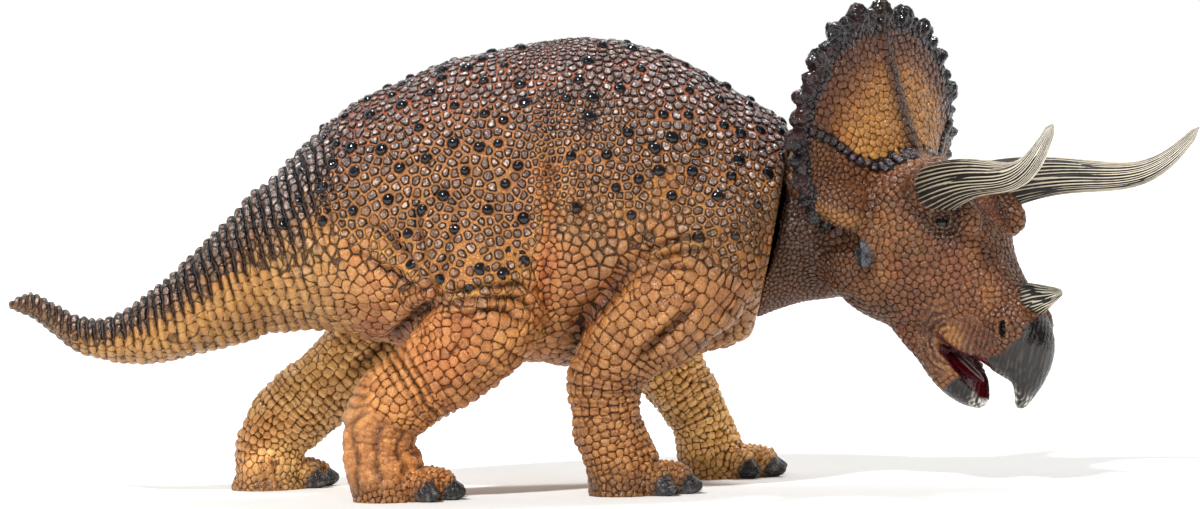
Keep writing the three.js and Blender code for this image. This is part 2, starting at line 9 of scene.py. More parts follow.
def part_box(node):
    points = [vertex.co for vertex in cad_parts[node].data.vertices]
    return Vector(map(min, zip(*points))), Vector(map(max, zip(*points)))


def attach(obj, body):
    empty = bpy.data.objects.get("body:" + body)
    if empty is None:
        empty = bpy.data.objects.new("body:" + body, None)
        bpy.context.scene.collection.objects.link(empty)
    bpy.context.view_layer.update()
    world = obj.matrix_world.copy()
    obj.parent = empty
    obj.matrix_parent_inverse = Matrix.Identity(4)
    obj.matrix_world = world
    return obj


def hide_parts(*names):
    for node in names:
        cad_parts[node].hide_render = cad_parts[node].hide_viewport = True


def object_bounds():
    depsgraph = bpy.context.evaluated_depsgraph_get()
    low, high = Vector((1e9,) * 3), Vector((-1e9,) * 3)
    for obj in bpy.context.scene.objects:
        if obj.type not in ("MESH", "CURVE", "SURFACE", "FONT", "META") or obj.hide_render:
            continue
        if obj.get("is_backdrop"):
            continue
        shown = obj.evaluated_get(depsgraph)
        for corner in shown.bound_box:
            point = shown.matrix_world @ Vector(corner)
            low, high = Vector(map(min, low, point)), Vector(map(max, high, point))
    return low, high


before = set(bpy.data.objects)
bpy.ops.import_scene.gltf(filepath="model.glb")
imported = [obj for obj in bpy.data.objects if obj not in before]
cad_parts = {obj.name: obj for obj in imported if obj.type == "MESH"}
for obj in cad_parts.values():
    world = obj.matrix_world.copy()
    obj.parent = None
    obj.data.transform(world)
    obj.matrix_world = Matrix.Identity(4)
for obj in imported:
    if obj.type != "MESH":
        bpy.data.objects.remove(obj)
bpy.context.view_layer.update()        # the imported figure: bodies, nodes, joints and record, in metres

metre = 0.001            # shapes are worked out in millimetres


# Helpers for shapes

def smoothTable(rows, steps):      # rows in between, on a Catmull-Rom curve through the given ones
    table = np.array(rows, float)
    padded = np.vstack([table[:1], table, table[-1:]])
    out = []
    for i in range(len(table) - 1):
        a, b, c, d = padded[i:i + 4]
        for t in np.arange(steps) / steps:
            bend = (2 * a - 5 * b + 4 * c - d) * t ** 2 + (3 * b - a - 3 * c + d) * t ** 3
            out.append((2 * b + (c - a) * t + bend) / 2)
    return np.array(out + [table[-1]])


def smoothStep(low, high, value):
    t = np.clip((value - low) / (high - low), 0, 1)
    return t * t * (3 - 2 * t)


def unit(vector):
    return vector / np.maximum(np.linalg.norm(vector, axis=-1, keepdims=True), 1e-9)


def hill(value, middle, width):    # 1 at the middle, falling off on both sides
    return np.exp(-((value - middle) / width) ** 2)


def crest(phase):                  # waves from 0 to 1, high at 0
    return 0.5 + 0.5 * np.cos(phase)


def trough(phase):                 # waves from 0 to 1, low at 0
    return 0.5 - 0.5 * np.cos(phase)


def eggRing(count, halfWidth, bottom, top, widestShare, roundness=1.0):
    turn = np.arange(count) / count * 2 * np.pi
    widest = bottom + (top - bottom) * widestShare
    rise = np.where(np.sin(turn) > 0, top - widest, widest - bottom)
    across = np.sign(np.cos(turn)) * np.abs(np.cos(turn)) ** roundness
    up = np.sign(np.sin(turn)) * np.abs(np.sin(turn)) ** roundness
    return halfWidth * across, widest + rise * up


def loft(rings):                   # a skin over rings of equal count, closed at both ends
    rings = np.asarray(rings, float)
    rows, count = rings.shape[:2]
    faces = []
    for r in range(rows - 1):
        for i in range(count):
            a, b = r * count + i, r * count + (i + 1) % count
            faces.append((a, b, b + count, a + count))
    faces.append(tuple(range(count - 1, -1, -1)))
    faces.append(tuple(range((rows - 1) * count, rows * count)))
    return rings.reshape(-1, 3), faces


def eggSolid(centre, radii, axes=None, count=28, rows=15):      # a closed ellipsoid on its own axes
    axes = np.eye(3) if axes is None else np.array(axes, float)
    rings = []
    for r in range(1, rows):
        polar = np.pi * r / rows
        turn = np.arange(count) / count * 2 * np.pi
        ring = np.stack([np.full(count, math.cos(polar)), math.sin(polar) * np.cos(turn),
                         math.sin(polar) * np.sin(turn)], 1) * np.array(radii)
        rings.append(ring @ axes + np.array(centre))
    return loft(rings)


def newMesh(name, points, faces):      # faces: an array of quads, or a list of arrays of quads and triangles
    groups = faces if isinstance(faces, list) else [faces]
    mesh = bpy.data.meshes.new(name)
    corners = np.concatenate([np.asarray(g, np.int32).ravel() for g in groups])
    sizes = np.concatenate([np.full(len(g), np.asarray(g).shape[1], np.int32) for g in groups])
    starts = np.concatenate([[0], np.cumsum(sizes)[:-1]]).astype(np.int32)
    mesh.vertices.add(len(points))
    mesh.vertices.foreach_set("co", np.asarray(points, np.float32).ravel())
    mesh.loops.add(len(corners))
    mesh.loops.foreach_set("vertex_index", corners)
    mesh.polygons.add(len(sizes))
    mesh.polygons.foreach_set("loop_start", starts)
    mesh.polygons.foreach_set("use_smooth", np.full(len(sizes), True))
    mesh.update(calc_edges=True)
    return mesh


def loftMesh(name, made):          # a loft in the figure's frame as a smooth mesh
    points, faces = made
    mesh = bpy.data.meshes.new(name)
    mesh.from_pydata(((points + originShift) * metre).tolist(), [], faces)
    mesh.shade_smooth()
    return mesh


def linked(name, data):            # a new object in the scene
    made = bpy.data.objects.new(name, data)
    bpy.context.scene.collection.objects.link(made)
    return made


def meshArrays(mesh):              # points and quads
    points = np.empty(len(mesh.vertices) * 3, np.float32)
    mesh.vertices.foreach_get("co", points)
    corners = np.empty(len(mesh.loops), np.int32)
    mesh.loops.foreach_get("vertex_index", corners)
    return points.reshape(-1, 3).astype(float), corners.reshape(-1, 4)


def evaluated(mesh, name, kind, attributes=(), **settings):      # the mesh after one modifier
    holder = linked(name, mesh)
    modifier = holder.modifiers.new(name, kind)
    for key, value in settings.items():
        setattr(modifier, key, value)
    graph = bpy.context.evaluated_depsgraph_get()
    made = bpy.data.meshes.new_from_object(holder.evaluated_get(graph))
    out = list(meshArrays(made))
    for attribute in attributes:
        values = np.empty(len(made.polygons), np.int32)
        made.attributes[attribute].data.foreach_get("value", values)
        out.append(values)
    bpy.data.objects.remove(holder)
    bpy.data.meshes.remove(made)
    bpy.data.meshes.remove(mesh)
    return out


def unionSkin(name, lofts, voxel):     # overlapping closed lofts become one skin of quads
    points = np.vstack([p for p, f in lofts])
    faces, start = [], 0
    for p, f in lofts:
        faces += [tuple(i + start for i in face) for face in f]
        start += len(p)
    mesh = bpy.data.meshes.new(name)
    mesh.from_pydata(points.tolist(), [], faces)
    return evaluated(mesh, name, "REMESH", mode="VOXEL", voxel_size=voxel, adaptivity=0.0)


def quadSides(quads):
    return np.concatenate([quads[:, [k, (k + 1) % 4]] for k in range(4)])


def edgesOf(quads):
    pairs = quadSides(quads)
    pairs.sort(axis=1)
    keys = np.unique(pairs[:, 0].astype(np.int64) * (quads.max() + 1) + pairs[:, 1])
    return np.stack([keys // (quads.max() + 1), keys % (quads.max() + 1)], 1)


def spread(values, edges, count):      # the mean over each point's neighbours
    ends = np.concatenate([edges[:, 0], edges[:, 1]])
    others = np.concatenate([edges[:, 1], edges[:, 0]])
    number = np.maximum(np.bincount(ends, minlength=count), 1)
    if values.ndim == 1:
        return np.bincount(ends, values[others], count) / number
    return np.stack([np.bincount(ends, values[others, k], count) / number for k in range(values.shape[1])], 1)


def relax(points, edges, strength, rounds):    # moves each point towards the middle of its neighbours
    for _ in range(rounds):
        points = points + strength[:, None] * (spread(points, edges, len(points)) - points)
    return points


def evened(points, edges, rounds):     # takes the voxel steps out without shrinking
    whole = np.ones(len(points))
    for _ in range(rounds):
        points = relax(points, edges, 0.55 * whole, 1)
        points = relax(points, edges, -0.56 * whole, 1)
    return relax(points, edges, 0.4 * whole, 1)


def faceNormals(points, quads):
    return np.cross(points[quads[:, 2]] - points[quads[:, 0]], points[quads[:, 3]] - points[quads[:, 1]])


def pointNormals(points, quads):
    across = faceNormals(points, quads)
    total = np.zeros((len(points), 3))
    for corner in range(4):
        for k in range(3):
            total[:, k] += np.bincount(quads[:, corner], across[:, k], len(points))
    return unit(total)


def nearestPart(places, lofts):        # which loft's surface each place lies on
    best = np.full(len(places), 1e9)
    label = np.zeros(len(places), np.int32)
    for part, (points, faces) in enumerate(lofts):
        tree = BVHTree.FromPolygons(points.tolist(), [tuple(f) for f in faces])
        reach = np.array([tree.find_nearest(p)[3] for p in places.tolist()])
        closer = reach < best - 1e-4
        best[closer] = reach[closer]
        label[closer] = part
    return label


def treeOf(points):
    tree = kdtree.KDTree(len(points))
    for i, p in enumerate(points.tolist()):
        tree.insert(p, i)
    tree.balance()
    return tree


def distanceTo(points, targets):
    tree = treeOf(targets)
    return np.array([tree.find(p)[2] for p in points.tolist()])


def passedAlong(line):             # the length passed at each point of a line
    return np.concatenate([[0], np.cumsum(np.linalg.norm(np.diff(line, axis=0), axis=1))])


def rowsAt(place, passed, table):      # a table's columns at some place along it
    return np.stack([np.interp(place, passed, column) for column in table.T], -1)


def pathDistance(points, path):        # distance to a polyline, and the share of its length at the nearest place
    path = np.array(path, float)
    points = points[:, :path.shape[1]]
    best = np.full(len(points), 1e9)
    along = np.zeros(len(points))
    lengths = np.linalg.norm(np.diff(path, axis=0), axis=1)
    passed = passedAlong(path)
    for i in range(len(path) - 1):
        step = path[i + 1] - path[i]
        t = np.clip((points - path[i]) @ step / (step @ step), 0, 1)
        reach = np.linalg.norm(points - path[i] - t[:, None] * step, axis=1)
        closer = reach < best
        best[closer] = reach[closer]
        along[closer] = (passed[i] + t * lengths[i])[closer] / passed[-1]
    return best, along


def waves(points, scale, seed, octaves=3):     # smooth noise from about -1 to 1, sums of turned sines
    rng = np.random.RandomState(seed)
    total = np.zeros(len(points))
    for octave in range(octaves):
        size = scale / 1.9 ** octave
        part = np.zeros(len(points))
        for _ in range(5):
            direction = unit(rng.normal(size=3)) * 2 * np.pi / size * rng.uniform(0.7, 1.3)
            part += np.sin(points @ direction + rng.uniform(0, 6.28))
        total += part / 2.6 / 1.7 ** octave
    return total / 1.6


def labelledSkin(name, lofts, groups, voxel):      # one skin over all lofts, which knows the group of each place
    points, quads = unionSkin(name, lofts, voxel)
    labels = np.array(groups, np.int32)[nearestPart(points[quads].mean(1), lofts)]
    edges = edgesOf(quads)
    points = evened(points, edges, 4)
    pointLabel = np.zeros(len(points), np.int32)
    pointLabel[quads.ravel()] = np.repeat(labels, 4)
    mixed = pointLabel[edges[:, 0]] != pointLabel[edges[:, 1]]
    return points, quads, labels, edges, pointLabel, distanceTo(points, points[np.unique(edges[mixed])])


def refined(name, points, quads, labels):      # one step of subdivision; faces keep their labels
    mesh = newMesh(name, points, quads)
    mesh.attributes.new("part", "INT", "FACE").data.foreach_set("value", labels)
    return evaluated(mesh, "fine", "SUBSURF", ["part"], levels=1, render_levels=1)


def hollowness(points, quads, rounds, size):       # 1 in hollows of that size, -1 on ridges
    edges = edgesOf(quads)
    mean = points
    for _ in range(rounds):
        mean = spread(mean, edges, len(points))
    return np.clip(((mean - points) * pointNormals(mean, quads)).sum(1) / size, -1, 1)


# Scales: seeds scattered over a skin with a local spacing, evened, then cells round them

def scatter(points, spacing, seed):
    rng = np.random.RandomState(seed)
    tree = treeOf(points)
    covered = np.zeros(len(points), bool)
    kept = []
    places = points.tolist()
    for i in rng.permutation(len(points)).tolist():
        if covered[i]:
            continue
        kept.append(i)
        for place, index, reach in tree.find_range(places[i], spacing[i]):
            covered[index] = True
    return np.array(kept)


def evenSeeds(points, seeds, rounds=2):
    for _ in range(rounds):
        tree = treeOf(seeds)
        owner = np.array([tree.find(p)[1] for p in points.tolist()])
        number = np.bincount(owner, minlength=len(seeds))
        middle = np.stack([np.bincount(owner, points[:, k], len(seeds)) for k in range(3)], 1)
        held = number > 0
        seeds = seeds.copy()
        seeds[held] = middle[held] / number[held, None]
    return seeds


def thinned(seeds, gap):           # leaves out seeds that crowd an earlier one
    tree = treeOf(seeds)
    kept = [i for i, p in enumerate(seeds.tolist()) if all(j >= i for q, j, r in tree.find_range(p, gap))]
    return seeds[kept]


def cells(points, seeds, bonus):       # owner, distance to its seed, and distance to the border with the next cell
    tree = treeOf(seeds)
    found = np.array([[(r[1], r[2]) for r in tree.find_n(p, 4)] for p in points.tolist()])
    owner = found[:, :, 0].astype(int)
    reach = found[:, :, 1] - bonus[owner]
    order = np.argsort(reach, axis=1)
    reach = np.take_along_axis(reach, order, 1)
    owner = np.take_along_axis(owner, order, 1)
    return owner[:, 0], reach[:, 0] + bonus[owner[:, 0]], (reach[:, 1] - reach[:, 0]) / 2


# Helpers for materials

def linear(text):                  # an sRGB hex colour as linear red, green, blue and alpha
    parts = [int(text[i:i + 2], 16) / 255 for i in (1, 3, 5)]
    return [c / 12.92 if c <= 0.04045 else ((c + 0.055) / 1.055) ** 2.4 for c in parts] + [1.0]


# settings that many nodes share
numbers, colours = {"data_type": "FLOAT"}, {"data_type": "RGBA"}
multiplied, screened = {**colours, "blend_type": "MULTIPLY"}, {**colours, "blend_type": "SCREEN"}
times, timesPlus = {"operation": "MULTIPLY"}, {"operation": "MULTIPLY_ADD"}
eased = {"interpolation_type": "SMOOTHSTEP"}


def addNode(tree, kind, settings=None, stops=None, **sockets):     # one node with its settings, values and links
    node = tree.nodes.new("ShaderNode" + kind)
    for key, value in (settings or {}).items():
        setattr(node, key, value)
    if stops:
        ramp = node.color_ramp.elements
        while len(ramp) < len(stops):
            ramp.new(0.5)
        for element, (place, colour) in zip(ramp, stops):
            element.position = place
            element.color = linear(colour)
    for key, value in sockets.items():
        named = [s for s in node.inputs if s.enabled and s.name.replace(" ", "") == key]
        target = (named or [s for s in node.inputs if s.identifier.replace(" ", "") == key])[0]
        if isinstance(value, bpy.types.Node):
            value = next(s for s in value.outputs if s.enabled)
        if isinstance(value, bpy.types.NodeSocket):
            tree.links.new(value, target)
        else:
            target.default_value = linear(value) if isinstance(value, str) else value
    return node


def newMaterial(name):
    material = bpy.data.materials.new(name)
    material.use_nodes = True
    material.node_tree.nodes.clear()
    return material, material.node_tree


def addPiece(name, mesh, material, body, node):
    piece = linked(name, mesh)
    mesh.materials.append(material)
    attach(piece, body)
    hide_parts(node)


def setFields(mesh, fields):       # one value per point, for the paint to read
    for key, values in fields.items():
        mesh.attributes.new(key, "FLOAT", "POINT").data.foreach_set("value", values.astype(np.float32))


# Hand-painted moulded PVC. The eye sees a semi-gloss skin: raised scale tops that catch small highlights, thin
# dark wash in the grooves, and paint that fades from purple brown on the back to golden ochre on the limbs.
pvcPaint = {
    "backTop": "#33292c",
    "backTopMid": "#6c5f60",
    # painted highlights: pale dry-brushed flecks in the middles of dark scale tops
    "backTopLight": "#dccfcd",
    "flankTint": "#d3a679",
    "backTopEdge": "#150d0d",
    "backGap": "#ae5832",
    "flankGap": "#d89640",
    "scaleLight": "#e8a45f",
    "scaleDeep": "#a9642b",
    "scaleGap": "#3c1e0c",
    "ring": "#170d0a",
    "bump": "#08080c",
    "bumpWarm": "#1b1820",
    # dark wash, which also serves as painted shade on undersides and in recesses
    "wash": "#3a210f",
    "warm": "#e29a78",
    "nail": "#242225",
    "nailPale": "#8f857a",
    "goldLight": "#dba45e",
    "goldDeep": "#a06c30",
    "goldGap": "#3e250d",
    # painted shade in hollows, with the wash there, and in the grooves of folds; on ridges a dry brush that is also a
    # painted highlight
    "hollowTint": "#6e432a",
    "foldTint": "#5c3a29",
    "ridgeTint": "#8a6a4a",
    "roughness": 0.15,
    "specular": 0.55,
    "blotchShare": 0.5,
    "creaseShare": 0.14,
    "fleckShare": 0.4,
    "speckShare": 0.4,
    "gapFrom": 0.0, "gapTo": 0.17,      # mm from a scale's border where the groove's paint gives way to the top's
    # scale per metre and detail: grains of 0.4 mm, brush blotches of 10 mm, specks of 2 mm, flecks of 0.8 mm
    "noises": ((2400, 3), (95, 3), (520, 4), (1300, 2)),
    "pebbles": 1250,               # creases 0.8 mm apart run over every scale and catch the brush
}


def paintedPvc(name, look):
    material, tree = newMaterial(name)
    look = {**pvcPaint, **look}
    keys = ["edge", "cell", "dark", "bump", "fold", "wash", "nail", "warm", "gold", "cavity"]
    if "beak" in look:
        keys += ["beak", "streak", "mouth", "tip", "pit", "ear"]
    field = {key: addNode(tree, "Attribute", {"attribute_name": key}).outputs["Fac"] for key in keys}
    place = addNode(tree, "TexCoord").outputs["Object"]
    grain, blotch, speck, fleck = [addNode(tree, "TexNoise", Vector=place, Scale=scale, Detail=detail)
                                   for scale, detail in look["noises"]]
    pebble = addNode(tree, "TexVoronoi", {"feature": "DISTANCE_TO_EDGE"}, Vector=place, Scale=look["pebbles"])
    crease = addNode(tree, "MapRange", Value=pebble, FromMin=0.02, FromMax=0.3)
    wander = addNode(tree, "MapRange", Value=grain, ToMin=-0.12, ToMax=0.12)
    groove = addNode(tree, "Math", Value=field["edge"], Value_001=wander)
    top = addNode(tree, "MapRange", eased, Value=groove, FromMin=look["gapFrom"], FromMax=look["gapTo"])
    between = addNode(tree, "MapRange", eased, Value=groove, FromMin=-0.07, FromMax=0.0, ToMin=1.0, ToMax=0.0)
    middle = addNode(tree, "MapRange", eased, Value=groove, FromMin=0.1, FromMax=0.4)
    # warm scale tops
    tone = field["cell"]
    for share, layer in ((look["blotchShare"], blotch), (look["creaseShare"], crease), (look["fleckShare"], fleck)):
        tone = addNode(tree, "Mix", numbers, Factor=share, A=tone, B=layer)
    light = addNode(tree, "ValToRGB", stops=[(0.3, look["scaleDeep"]), (0.7, look["scaleLight"])], Fac=tone)
    golden = addNode(tree, "ValToRGB", stops=[(0.3, look["goldDeep"]), (0.7, look["goldLight"])], Fac=tone)
    light = addNode(tree, "Mix", colours, Factor=field["gold"], A=light, B=golden)
    # dark scale tops, lighter in their middles: dry-brushed flecks that are also painted highlights
    dryBrushAndHighlight = addNode(tree, "Mix", numbers, Factor=look["speckShare"], A=fleck, B=speck)
    dryBrushAndHighlight = addNode(tree, "Math", timesPlus, Value=field["cell"], Value_001=0.1, Value_002=dryBrushAndHighlight)
    dryBrushAndHighlight = addNode(tree, "Math", times, Value=middle, Value_001=dryBrushAndHighlight)
    darkTop = addNode(tree, "ValToRGB", stops=[(0.0, look["backTopEdge"]), (0.38, look["backTop"]),
                                               (0.58, look["backTopMid"]), (0.68, look["backTopLight"])], Fac=dryBrushAndHighlight)
    flank = addNode(tree, "MapRange", Value=field["dark"], FromMin=0.5, FromMax=0.95, ToMin=0.9, ToMax=0.0)
    darkTop = addNode(tree, "Mix", multiplied, Factor=flank, A=darkTop, B=look["flankTint"])
    chance = addNode(tree, "Math", timesPlus, Value=field["cell"], Value_001=0.3, Value_002=-0.15)
    darkness = addNode(tree, "Math", Value=field["dark"], Value_001=chance)
    darkShare = addNode(tree, "MapRange", eased, Value=darkness, FromMin=0.1, FromMax=0.6)
    tops = addNode(tree, "Mix", colours, Factor=darkShare, A=light, B=darkTop)
    # grooves hold a brown wash, near black round the dark scales; the skin between those is bare orange
    ring = addNode(tree, "Mix", colours, Factor=darkShare, A=look["scaleGap"], B=look["ring"])
    ring = addNode(tree, "Mix", colours, Factor=field["gold"], A=ring, B=look["goldGap"])
    gaps = addNode(tree, "ValToRGB", stops=[(0.35, look["flankGap"]), (1.0, look["backGap"])], Fac=field["dark"])
    pebbled = addNode(tree, "MapRange", Value=pebble, FromMax=0.35, ToMin=0.45, ToMax=1.0)
    gaps = addNode(tree, "Mix", multiplied, Factor=1.0, A=gaps, B=pebbled)
    bumpShare = addNode(tree, "Math", times, Value=field["bump"], Value_001=top)
    bumpTone = addNode(tree, "ValToRGB", stops=[(0.48, look["bump"]), (0.75, look["bumpWarm"])], Fac=blotch)
    # dark wash and painted shade lie where that field asks, most where the speckle lets it; hollows get a wash deepened
    # as painted shade, fold grooves painted shade, and ridges a dry brush that is also a painted highlight
    spotted = addNode(tree, "MapRange", Value=speck, FromMin=0.3, FromMax=0.7, ToMin=0.65, ToMax=1.0)
    washAndShadeShare = addNode(tree, "Math", times, Value=field["wash"], Value_001=spotted)
    # hollows: a dark wash deepened as painted shade
    hollow = addNode(tree, "MapRange", Value=field["cavity"], FromMin=0.1, FromMax=1.0, ToMin=0.0, ToMax=0.68)
    # ridges: a dry brush that also paints highlights on them
    ridge = addNode(tree, "MapRange", Value=field["cavity"], FromMin=-0.15, FromMax=-1.0, ToMin=0.0, ToMax=0.4)
    nailTone = addNode(tree, "ValToRGB", stops=[(0.5, look["nail"]), (0.85, look["nailPale"])], Fac=speck)
    coats = [(colours, between, gaps), (colours, top, tops), (multiplied, field["warm"], look["warm"]),
             (colours, bumpShare, bumpTone), (colours, washAndShadeShare, look["wash"]),
             (multiplied, hollow, look["hollowTint"]), (multiplied, field["fold"], look["foldTint"]),
             (screened, ridge, look["ridgeTint"]), (colours, field["nail"], nailTone)]
    if "beak" in look:             # near black, dry-brushed white along the lines near the tips
        tone = addNode(tree, "MapRange", Value=field["streak"], FromMin=0.15, FromMax=0.85)
        beakPaint = [addNode(tree, "ValToRGB", stops=look[key], Fac=tone) for key in ("beak", "beakTip")]
        beakPaint = addNode(tree, "Mix", colours, Factor=field["tip"], A=beakPaint[0], B=beakPaint[1])
        earTone = addNode(tree, "ValToRGB", stops=look["ear"], Fac=speck)
        coats += [(colours, field["beak"], beakPaint), (colours, field["ear"], earTone),
                  (colours, field["mouth"], look["mouth"]), (colours, field["pit"], look["pit"])]
    skin = ring
    for blend, share, paint in coats:
        skin = addNode(tree, "Mix", blend, Factor=share, A=skin, B=paint)
    # dark tops and bumps are shinier than the washed grooves
    gloss = addNode(tree, "MapRange", Value=top, ToMin=look["roughness"] + 0.2, ToMax=look["roughness"])
    gloss = addNode(tree, "Math", timesPlus, Value=bumpShare, Value_001=-0.1, Value_002=gloss)
    rough = addNode(tree, "Math", timesPlus, Value=speck, Value_001=0.14, Value_002=gloss)
    texture = addNode(tree, "Math", times, Value=grain, Value_001=0.4)
    texture = addNode(tree, "Math", timesPlus, Value=speck, Value_001=1.1, Value_002=texture)
    texture = addNode(tree, "Math", timesPlus, Value=crease, Value_001=0.18, Value_002=texture)
    quiet = addNode(tree, "MapRange", Value=bumpShare, ToMin=1.0, ToMax=0.12)
    relief = addNode(tree, "Math", timesPlus, Value=texture, Value_001=quiet, Value_002=top)
    bump = addNode(tree, "Bump", Strength=0.95, Distance=0.0005, Height=relief)
    shader = addNode(tree, "BsdfPrincipled", BaseColor=skin, Roughness=rough, IOR=1.5, Normal=bump,
                     SpecularIORLevel=look["specular"])
    addNode(tree, "OutputMaterial", Surface=shader)
    return material


# Pieces cut out of a skin: each node's share of the faces, closed inside by a shallow cone at every edge

def cutPieces(body, points, quads, labels, fields, plan):
    normals = pointNormals(points, quads)
    for label, spec in enumerate(plan):
        own = quads[labels == label]
        used, inverse = np.unique(own.ravel(), return_inverse=True)
        local = inverse.reshape(-1, 4)
        places, across, size = points[used], normals[used], len(used)
        # border edges have one face only, and keep that face's direction
        pairs = quadSides(local).astype(np.int64)
        border = pairs[~np.isin(pairs[:, 0] * size + pairs[:, 1], pairs[:, 1] * size + pairs[:, 0])]
        extra, fan = [], []
        for group in borderGroups(border, size):
            ring = np.unique(group)
            centre = places[ring].mean(0)
            apex = centre - spec["depth"] * unit(across[ring].mean(0))
            if "apex" in spec:
                apex = centre + (np.array(spec["apex"], float) - centre) * spec["apexShare"]
            extra.append(apex)
            fan += [(b, a, size + len(extra) - 1) for a, b in group.tolist()]
        places = np.vstack([places, np.array(extra)])
        across = np.vstack([across, np.tile([0, 0, 1.0], (len(extra), 1))])
        mesh = newMesh(spec["name"], (places + originShift) * metre, [local, np.array(fan, np.int32)])
        setFields(mesh, {key: np.append(values[used], np.zeros(len(extra))) for key, values in fields.items()})
        mesh.normals_split_custom_set_from_vertices(across.tolist())
        addPiece(spec["name"], mesh, spec["material"], body, spec["node"])
        print("piece", spec["name"], len(places), "points")


def borderGroups(border, size):        # separate rings of border edges
    owner = np.arange(size)
    ends = np.concatenate([border, border[:, ::-1]])
    while True:
        lowest = owner.copy()
        np.minimum.at(lowest, ends[:, 0], owner[ends[:, 1]])
        if (lowest == owner).all():
            break
        owner = lowest
    marks = owner[border[:, 0]]
    return [border[marks == mark] for mark in np.unique(marks)]


# Torso, tail and legs. Rows are shares of the sizes, as a table of sections along each piece.
bodyLook = {
    "length": 132, "height": 81, "width": 68, "belly": 32.2, "widestShare": 0.42,
    "tailLength": 68, "tailHeight": 36, "tailWidth": 32,
    "voxel": 0.7,
    "backScale": 2.25, "flankScale": 2.3, "legScale": 2.4, "toeScale": 1.4,
    "tailScale": 1.7, "relief": 0.46, "tilt": 0.17, "lip": 2.2,
    "collarShare": 0.4545, "collarHeight": 62.8, "neckDrop": 12,      # where the head plugs in, and its axis
    "legTop": (26, 52), "shoulderRise": 6,     # heights between which the torso's skin becomes the legs'
    "torsoAround": 72, "tailAround": 56, "ribAround": 240,
    "bumpGap": 4.6, "bumpGapSpread": 4.4, "bumpRadius": 1.2, "bumpRadiusSpread": 0.55, "bumpHeight": 0.75,
    "bumpClear": 1.9, "bumpStart": -62,        # room round each dark bump, and how far back they reach
    "muscle": 0.55, "muscleSize": 17, "heel": (-33.0, 26.5), "collarRadius": 30,
    # hollows hold the wash and, with it, painted shade
    "hollow": (24, 0.34),          # how wide, in rounds of smoothing, and how deep a hollow is that holds wash
}
# The figure's own frame has the middle of the torso at x = 0 and y = 0, and the soles at z = 0.
torsoLow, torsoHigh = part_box("torso")
originShift = np.array([torsoLow.x / metre + bodyLook["length"] / 2, (torsoLow.y + torsoHigh.y) / metre / 2, 0])
torsoRows = [
    [0.0, 0.59, 0.114, 0.44], [0.076, 0.704, 0.123, 0.59], [0.167, 0.817, 0.101, 0.75], [0.258, 0.883, 0.066, 0.87],
    [0.348, 0.938, 0.037, 0.94], [0.455, 0.975, 0.011, 0.985], [0.561, 1.0, 0.0, 1.0], [0.667, 0.993, 0.005, 0.985],
    [0.758, 0.95, 0.014, 0.93], [0.833, 0.886, 0.031, 0.855], [0.902, 0.817, 0.062, 0.765],
    [0.955, 0.763, 0.106, 0.675], [1.0, 0.706, 0.143, 0.59], [1.05, 0.64, 0.2, 0.48],
]
tailRows = [
    [-0.12, 0.6, -0.5, 0.95, 0.0], [0.0, 0.507, -0.507, 0.935, 0.0],
    [0.06, 0.47, -0.57, 0.86, 0.0], [0.12, 0.33, -0.6, 0.82, 0.0], [0.24, 0.12, -0.65, 0.7, 0.01],
    [0.35, -0.07, -0.7, 0.6, 0.03], [0.46, -0.24, -0.73, 0.5, 0.06], [0.56, -0.36, -0.72, 0.41, 0.1],
    [0.65, -0.42, -0.69, 0.33, 0.16], [0.74, -0.39, -0.64, 0.27, 0.23], [0.82, -0.31, -0.53, 0.22, 0.32],
    [0.9, -0.23, -0.41, 0.17, 0.42], [0.96, -0.25, -0.36, 0.12, 0.51], [1.0, -0.29, -0.33, 0.04, 0.58],
]
collar = np.array([bodyLook["collarShare"] * bodyLook["length"], 0, bodyLook["collarHeight"]])
neckDrop = math.radians(bodyLook["neckDrop"])
neckAxis = np.array([math.cos(neckDrop), 0, -math.sin(neckDrop)])
neckUp = np.array([math.sin(neckDrop), 0, math.cos(neckDrop)])


def torsoX(share):
    return (share - 0.5) * bodyLook["length"]


def torsoZ(share):
    return bodyLook["belly"] + share * bodyLook["height"]


def torsoLoft():
    rings = []
    for along, top, bottom, wide in smoothTable(torsoRows, 4):
        y, z = eggRing(bodyLook["torsoAround"], bodyLook["width"] / 2 * wide, torsoZ(bottom), torsoZ(top),
                       bodyLook["widestShare"])
        x = np.minimum(torsoX(along), collar[0] + (z - collar[2]) * math.tan(neckDrop))
        rings.append(np.stack([x, y, z], 1))
    return loft(rings)


tailRootX = torsoX(0)
tailRootZ = (torsoZ(torsoRows[0][1]) + torsoZ(torsoRows[0][2])) / 2
tailRing = smoothTable(tailRows, 5)
tailLine = np.stack([tailRootX - tailRing[:, 0] * bodyLook["tailLength"],
                     tailRing[:, 4] * bodyLook["tailWidth"] / 2,
                     tailRootZ + (tailRing[:, 1] + tailRing[:, 2]) / 2 * bodyLook["tailHeight"]], 1)


def tailSection(count, top, bottom, wide, sway):
    y, z = eggRing(count, bodyLook["tailWidth"] / 2 * wide, tailRootZ + bottom * bodyLook["tailHeight"],
                   tailRootZ + top * bodyLook["tailHeight"], bodyLook["widestShare"])
    return y + sway * bodyLook["tailWidth"] / 2, z


def tailLoft():
    rings = []
    for back, *section in tailRing:
        y, z = tailSection(bodyLook["tailAround"], *section)
        rings.append(np.stack([np.full(len(y), tailRootX - back * bodyLook["tailLength"]), y, z], 1))
    return loft(rings)


